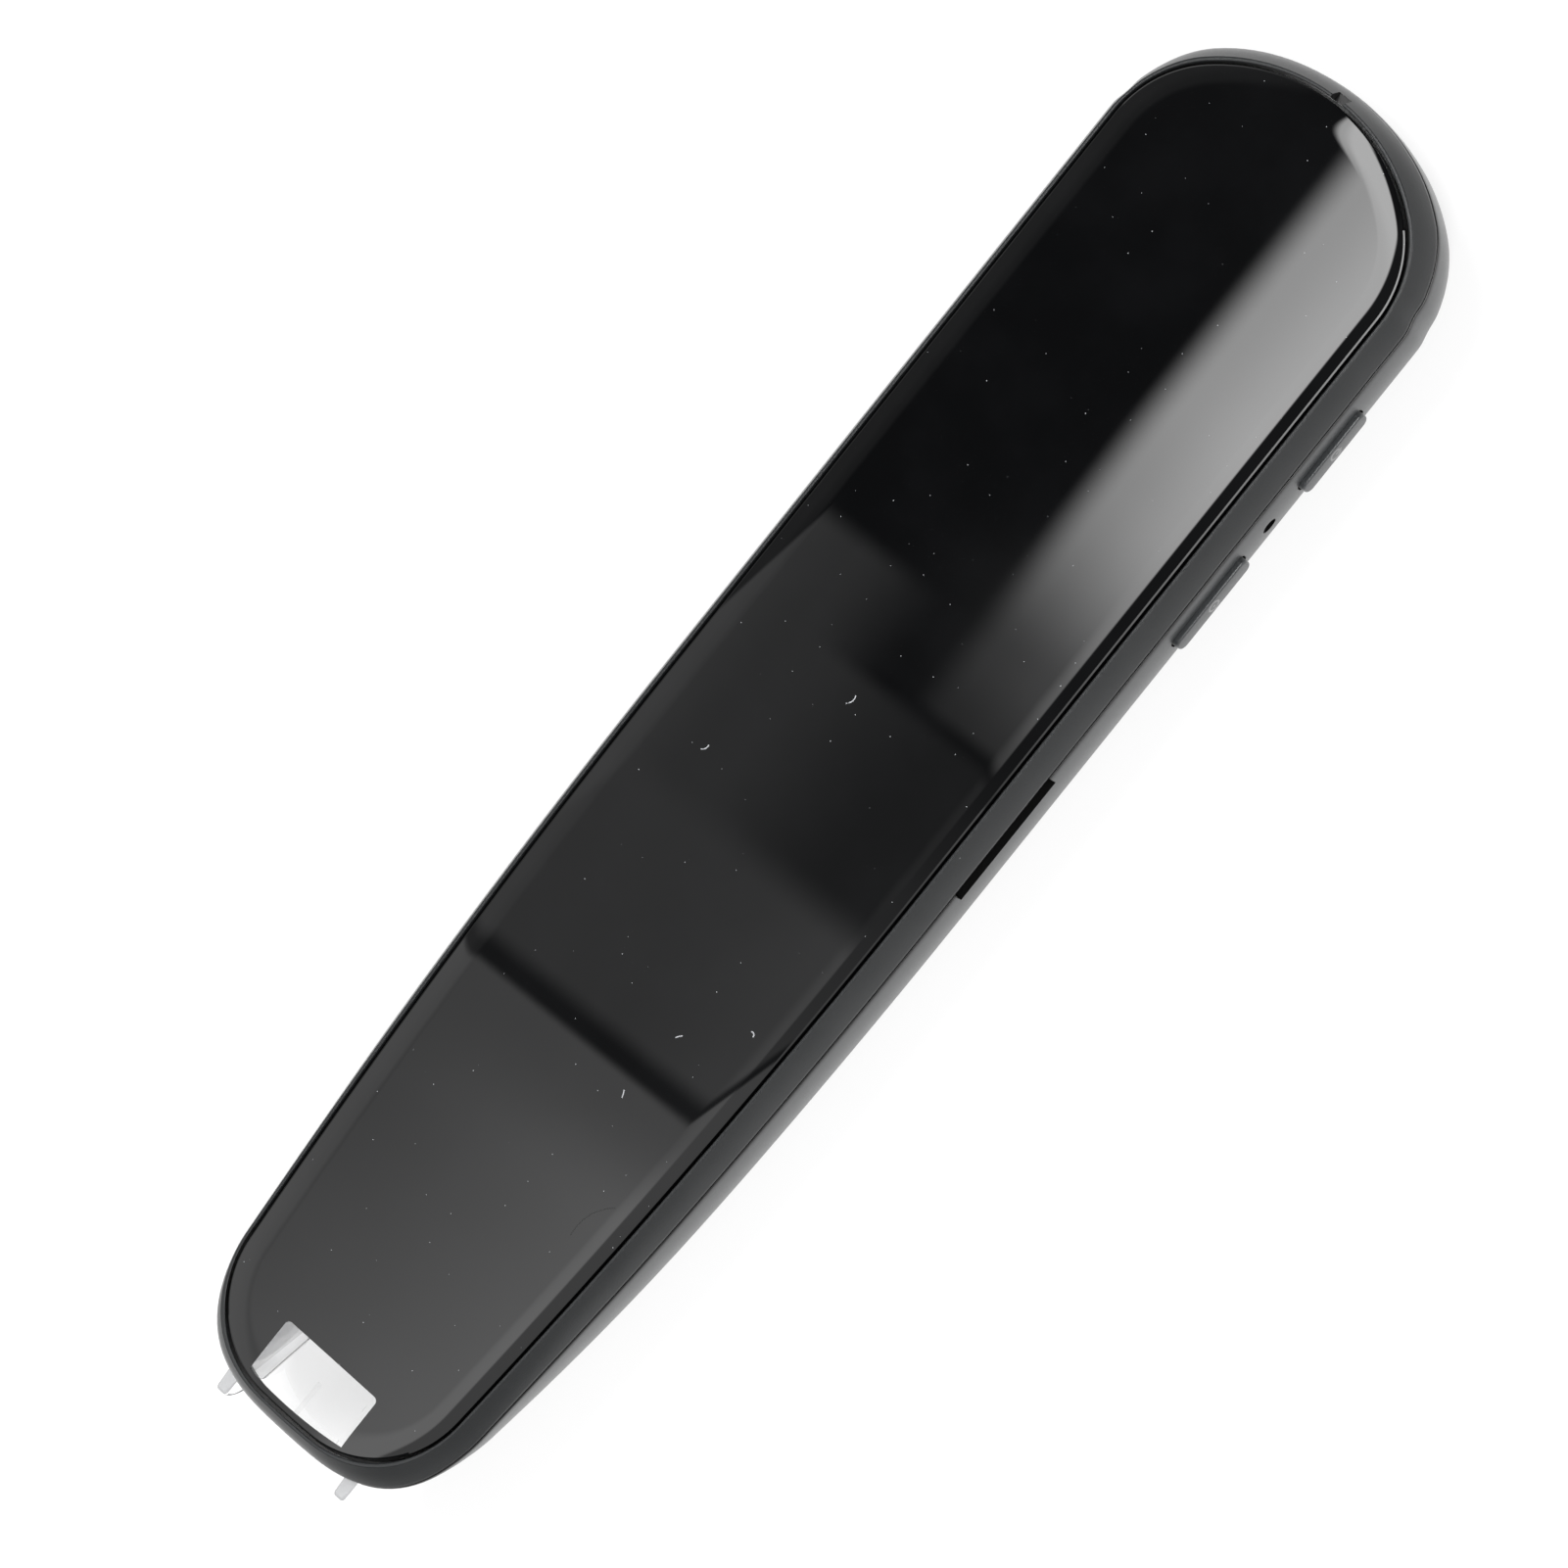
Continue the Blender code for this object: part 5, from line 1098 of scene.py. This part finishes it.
# The card's pattern, as the glass shows it. A pair is the stretch, in millimetres, over which a part comes in
card = {
    "low": (-0.90, -0.60),
    "high": (0.75, 0.60),
    "mirror": 0.0405,             # share of the light that the glass sends back at this angle
    "bend": 14,                   # past this, on either side, the glass curves down
    "leans": (0.04, 0.08, 0.047, 0.08),
    "rightEnd": (-48, -34),

    # a soft panel over the far half, with its dim lower end
    "panel": (0.28, 0.085),
    "panelSide": (2.9, 7.0),
    "panelSlope": (7, 15),
    "panelLean": 0.6,
    "panelLeanEdge": (15, 45),
    "panelFoot": (9.5, 11.5),
    "panelFootFade": (10, 20),
    "panelRise": (18.5, 36.5),
    "panelTop": (33, 48),
    "panelFar": (85, 140),
    "panelEnd": (92, 108),
    "panelEndSlant": 900,
    "spread": 0.06,
    "spreadSide": (-165, -45),
    "spreadTop": (22, 32),
    "strip": 0.35,
    "stripSide": (230, 270),
    "stripLength": (-60, 110),

    # a grey wall beyond the tip half, with a shaded corner
    "wall": 0.0195,
    "wallTop": (8.2, 10.4),
    "wallFoot": (-11.5, -7),
    "wallFade": (17.6, 20.2),
    "wallLeft": (-17, -9),
    "wallRight": (-125, -60),
    "footSide": (0, 16),
    "footCorner": (-140, -55),
    "cornerSide": (-8, 9),
    "cornerTop": (-9, 1.5),

    # a lighter table below it, past a narrow dark line
    "table": 0.0385,
    "tableEdge": (-32.4, -31.2),
    "tableRight": (-22, 31),
    "tableRightFade": (-44, -33),
    "tableTip": (-75, -45),
    "tableCorner": (-75, -55),
    "tableCornerSide": (-145, -60),
    "lineFar": (-32.3, -31.2),
    "lineNear": (-30.6, -28.2),

    # what the sides and the room above send
    "side": (-24, 16),
    "left": (-225, -180),
    "leftFar": (-310, -220),
    "ceiling": (45, 75),
}


def makeCard():
    # onX and onY are places on the glass, farX and farY on the card, for what the glass's bent edge shows
    eye = Vector(camera["place"])
    grow = stage["cardHeight"] / (eye.z - glassHigh.z)
    height = glassHigh.z + stage["cardHeight"]
    low, high = Vector((*card["low"], height)), Vector((*card["high"], height))
    bm = bmesh.new()
    bmesh.ops.create_grid(bm, x_segments=1, y_segments=1, size=0.5)
    bmesh.ops.scale(bm, verts=bm.verts, vec=(high.x - low.x, high.y - low.y, 1))
    bmesh.ops.translate(bm, verts=bm.verts, vec=(low + high) / 2)
    sheet = addPiece("card", bm)
    made = Finish("card")
    x, y, z = made.axes(made.place())
    farX, farY = x * 1000, y * 1000
    onX = (x + eye.x * grow) * (1000 / (1 + grow))
    middleLean, leftLean, lineLeftLean, lineRightLean = card["leans"]
    flatY = (y + eye.y * grow) * (1000 / (1 + grow)) - onX.below(card["bend"]) * middleLean
    leftOf, rightOf = (onX + card["bend"]).below(0.0), (onX - card["bend"]).above(0.0)
    onY = flatY - leftOf * leftLean
    lineY = flatY - leftOf * lineLeftLean - rightOf * lineRightLean

    def rise(value, stretch):
        # 0 before a stretch of the card, 1 past it
        return made.ease(value, *card[stretch])

    def fall(value, stretch):
        return 1 - rise(value, stretch)

    lower = rise(onY, "panelFoot") * (0.4 + 0.6 * rise(onY, "panelFootFade"))
    level, slope = card["panel"]
    across = rise(onX - card["panelLean"] * fall(onY, "panelLeanEdge"), "panelSide")
    across = across * (level + slope * rise(onX, "panelSlope"))
    along = 0.72 * rise(onY, "panelRise") + 0.18 * rise(onY, "panelTop") + 0.1 * lower
    panel = across * along * fall(farX + y * card["panelEndSlant"], "panelEnd")
    panel = panel * (1 + 0.12 * rise(farY, "panelFar"))
    panel = panel + card["spread"] * rise(farX, "spreadSide") * lower * fall(onY, "spreadTop")
    strip = card["strip"] * rise(farX, "stripSide") * rise(farY, "stripLength")

    foot = fall(onY, "wallFoot")
    middle = (1 - foot) * fall(onY, "wallTop")
    corner = 0.65 * rise(onX, "cornerSide") * middle + rise(onX, "cornerTop") * rise(onY, "wallTop")
    wall = card["wall"] + 0.009 * fall(onX, "wallLeft") * (1 - foot)
    wall = wall + (0.004 + 0.009 * rise(onX, "footSide") + 0.014 * rise(farX, "footCorner")) * foot
    wall = wall * (1 - corner) * fall(onY, "wallFade") + 0.006 * rise(farX, "wallRight") * middle

    near = fall(lineY, "tableEdge")
    table = card["table"] + 0.062 * rise(onX, "tableRight") * (0.25 + 0.75 * fall(onY, "tableRightFade"))
    table = table + 0.012 * (fall(onY, "tableTip") + rise(farX, "tableCornerSide") * rise(onY, "tableCorner"))
    table = table + 0.008 * fall(farX, "left")
    line = 0.88 * rise(lineY, "lineFar") * fall(lineY, "lineNear")

    room = fall(farX, "rightEnd")
    side = 0.0026 + 0.0185 * fall(onY, "side")
    scenery = room * (wall * (1 - near) + table * near) + (1 - room) * (side + (0.041 - side) * near)
    around = 0.0004 + 0.0012 * rise(onY, "ceiling")
    around = around + 0.0055 * fall(farX, "left") + 0.003 * fall(farX, "leftFar")
    mirrored = around + panel * room + strip + scenery * (1 - line)
    glow = made.node("Emission", sockets={"Color": white, "Strength": mirrored / card["mirror"]})
    made.node("OutputMaterial", sockets={"Surface": glow})
    sheet.data.materials.append(made.owner)
    sheet.visible_camera = False
    sheet.visible_diffuse = False
    sheet.visible_shadow = False
    sheet.visible_transmission = False


makeFloor()
makeLight()
makeCard()
print("stage set")
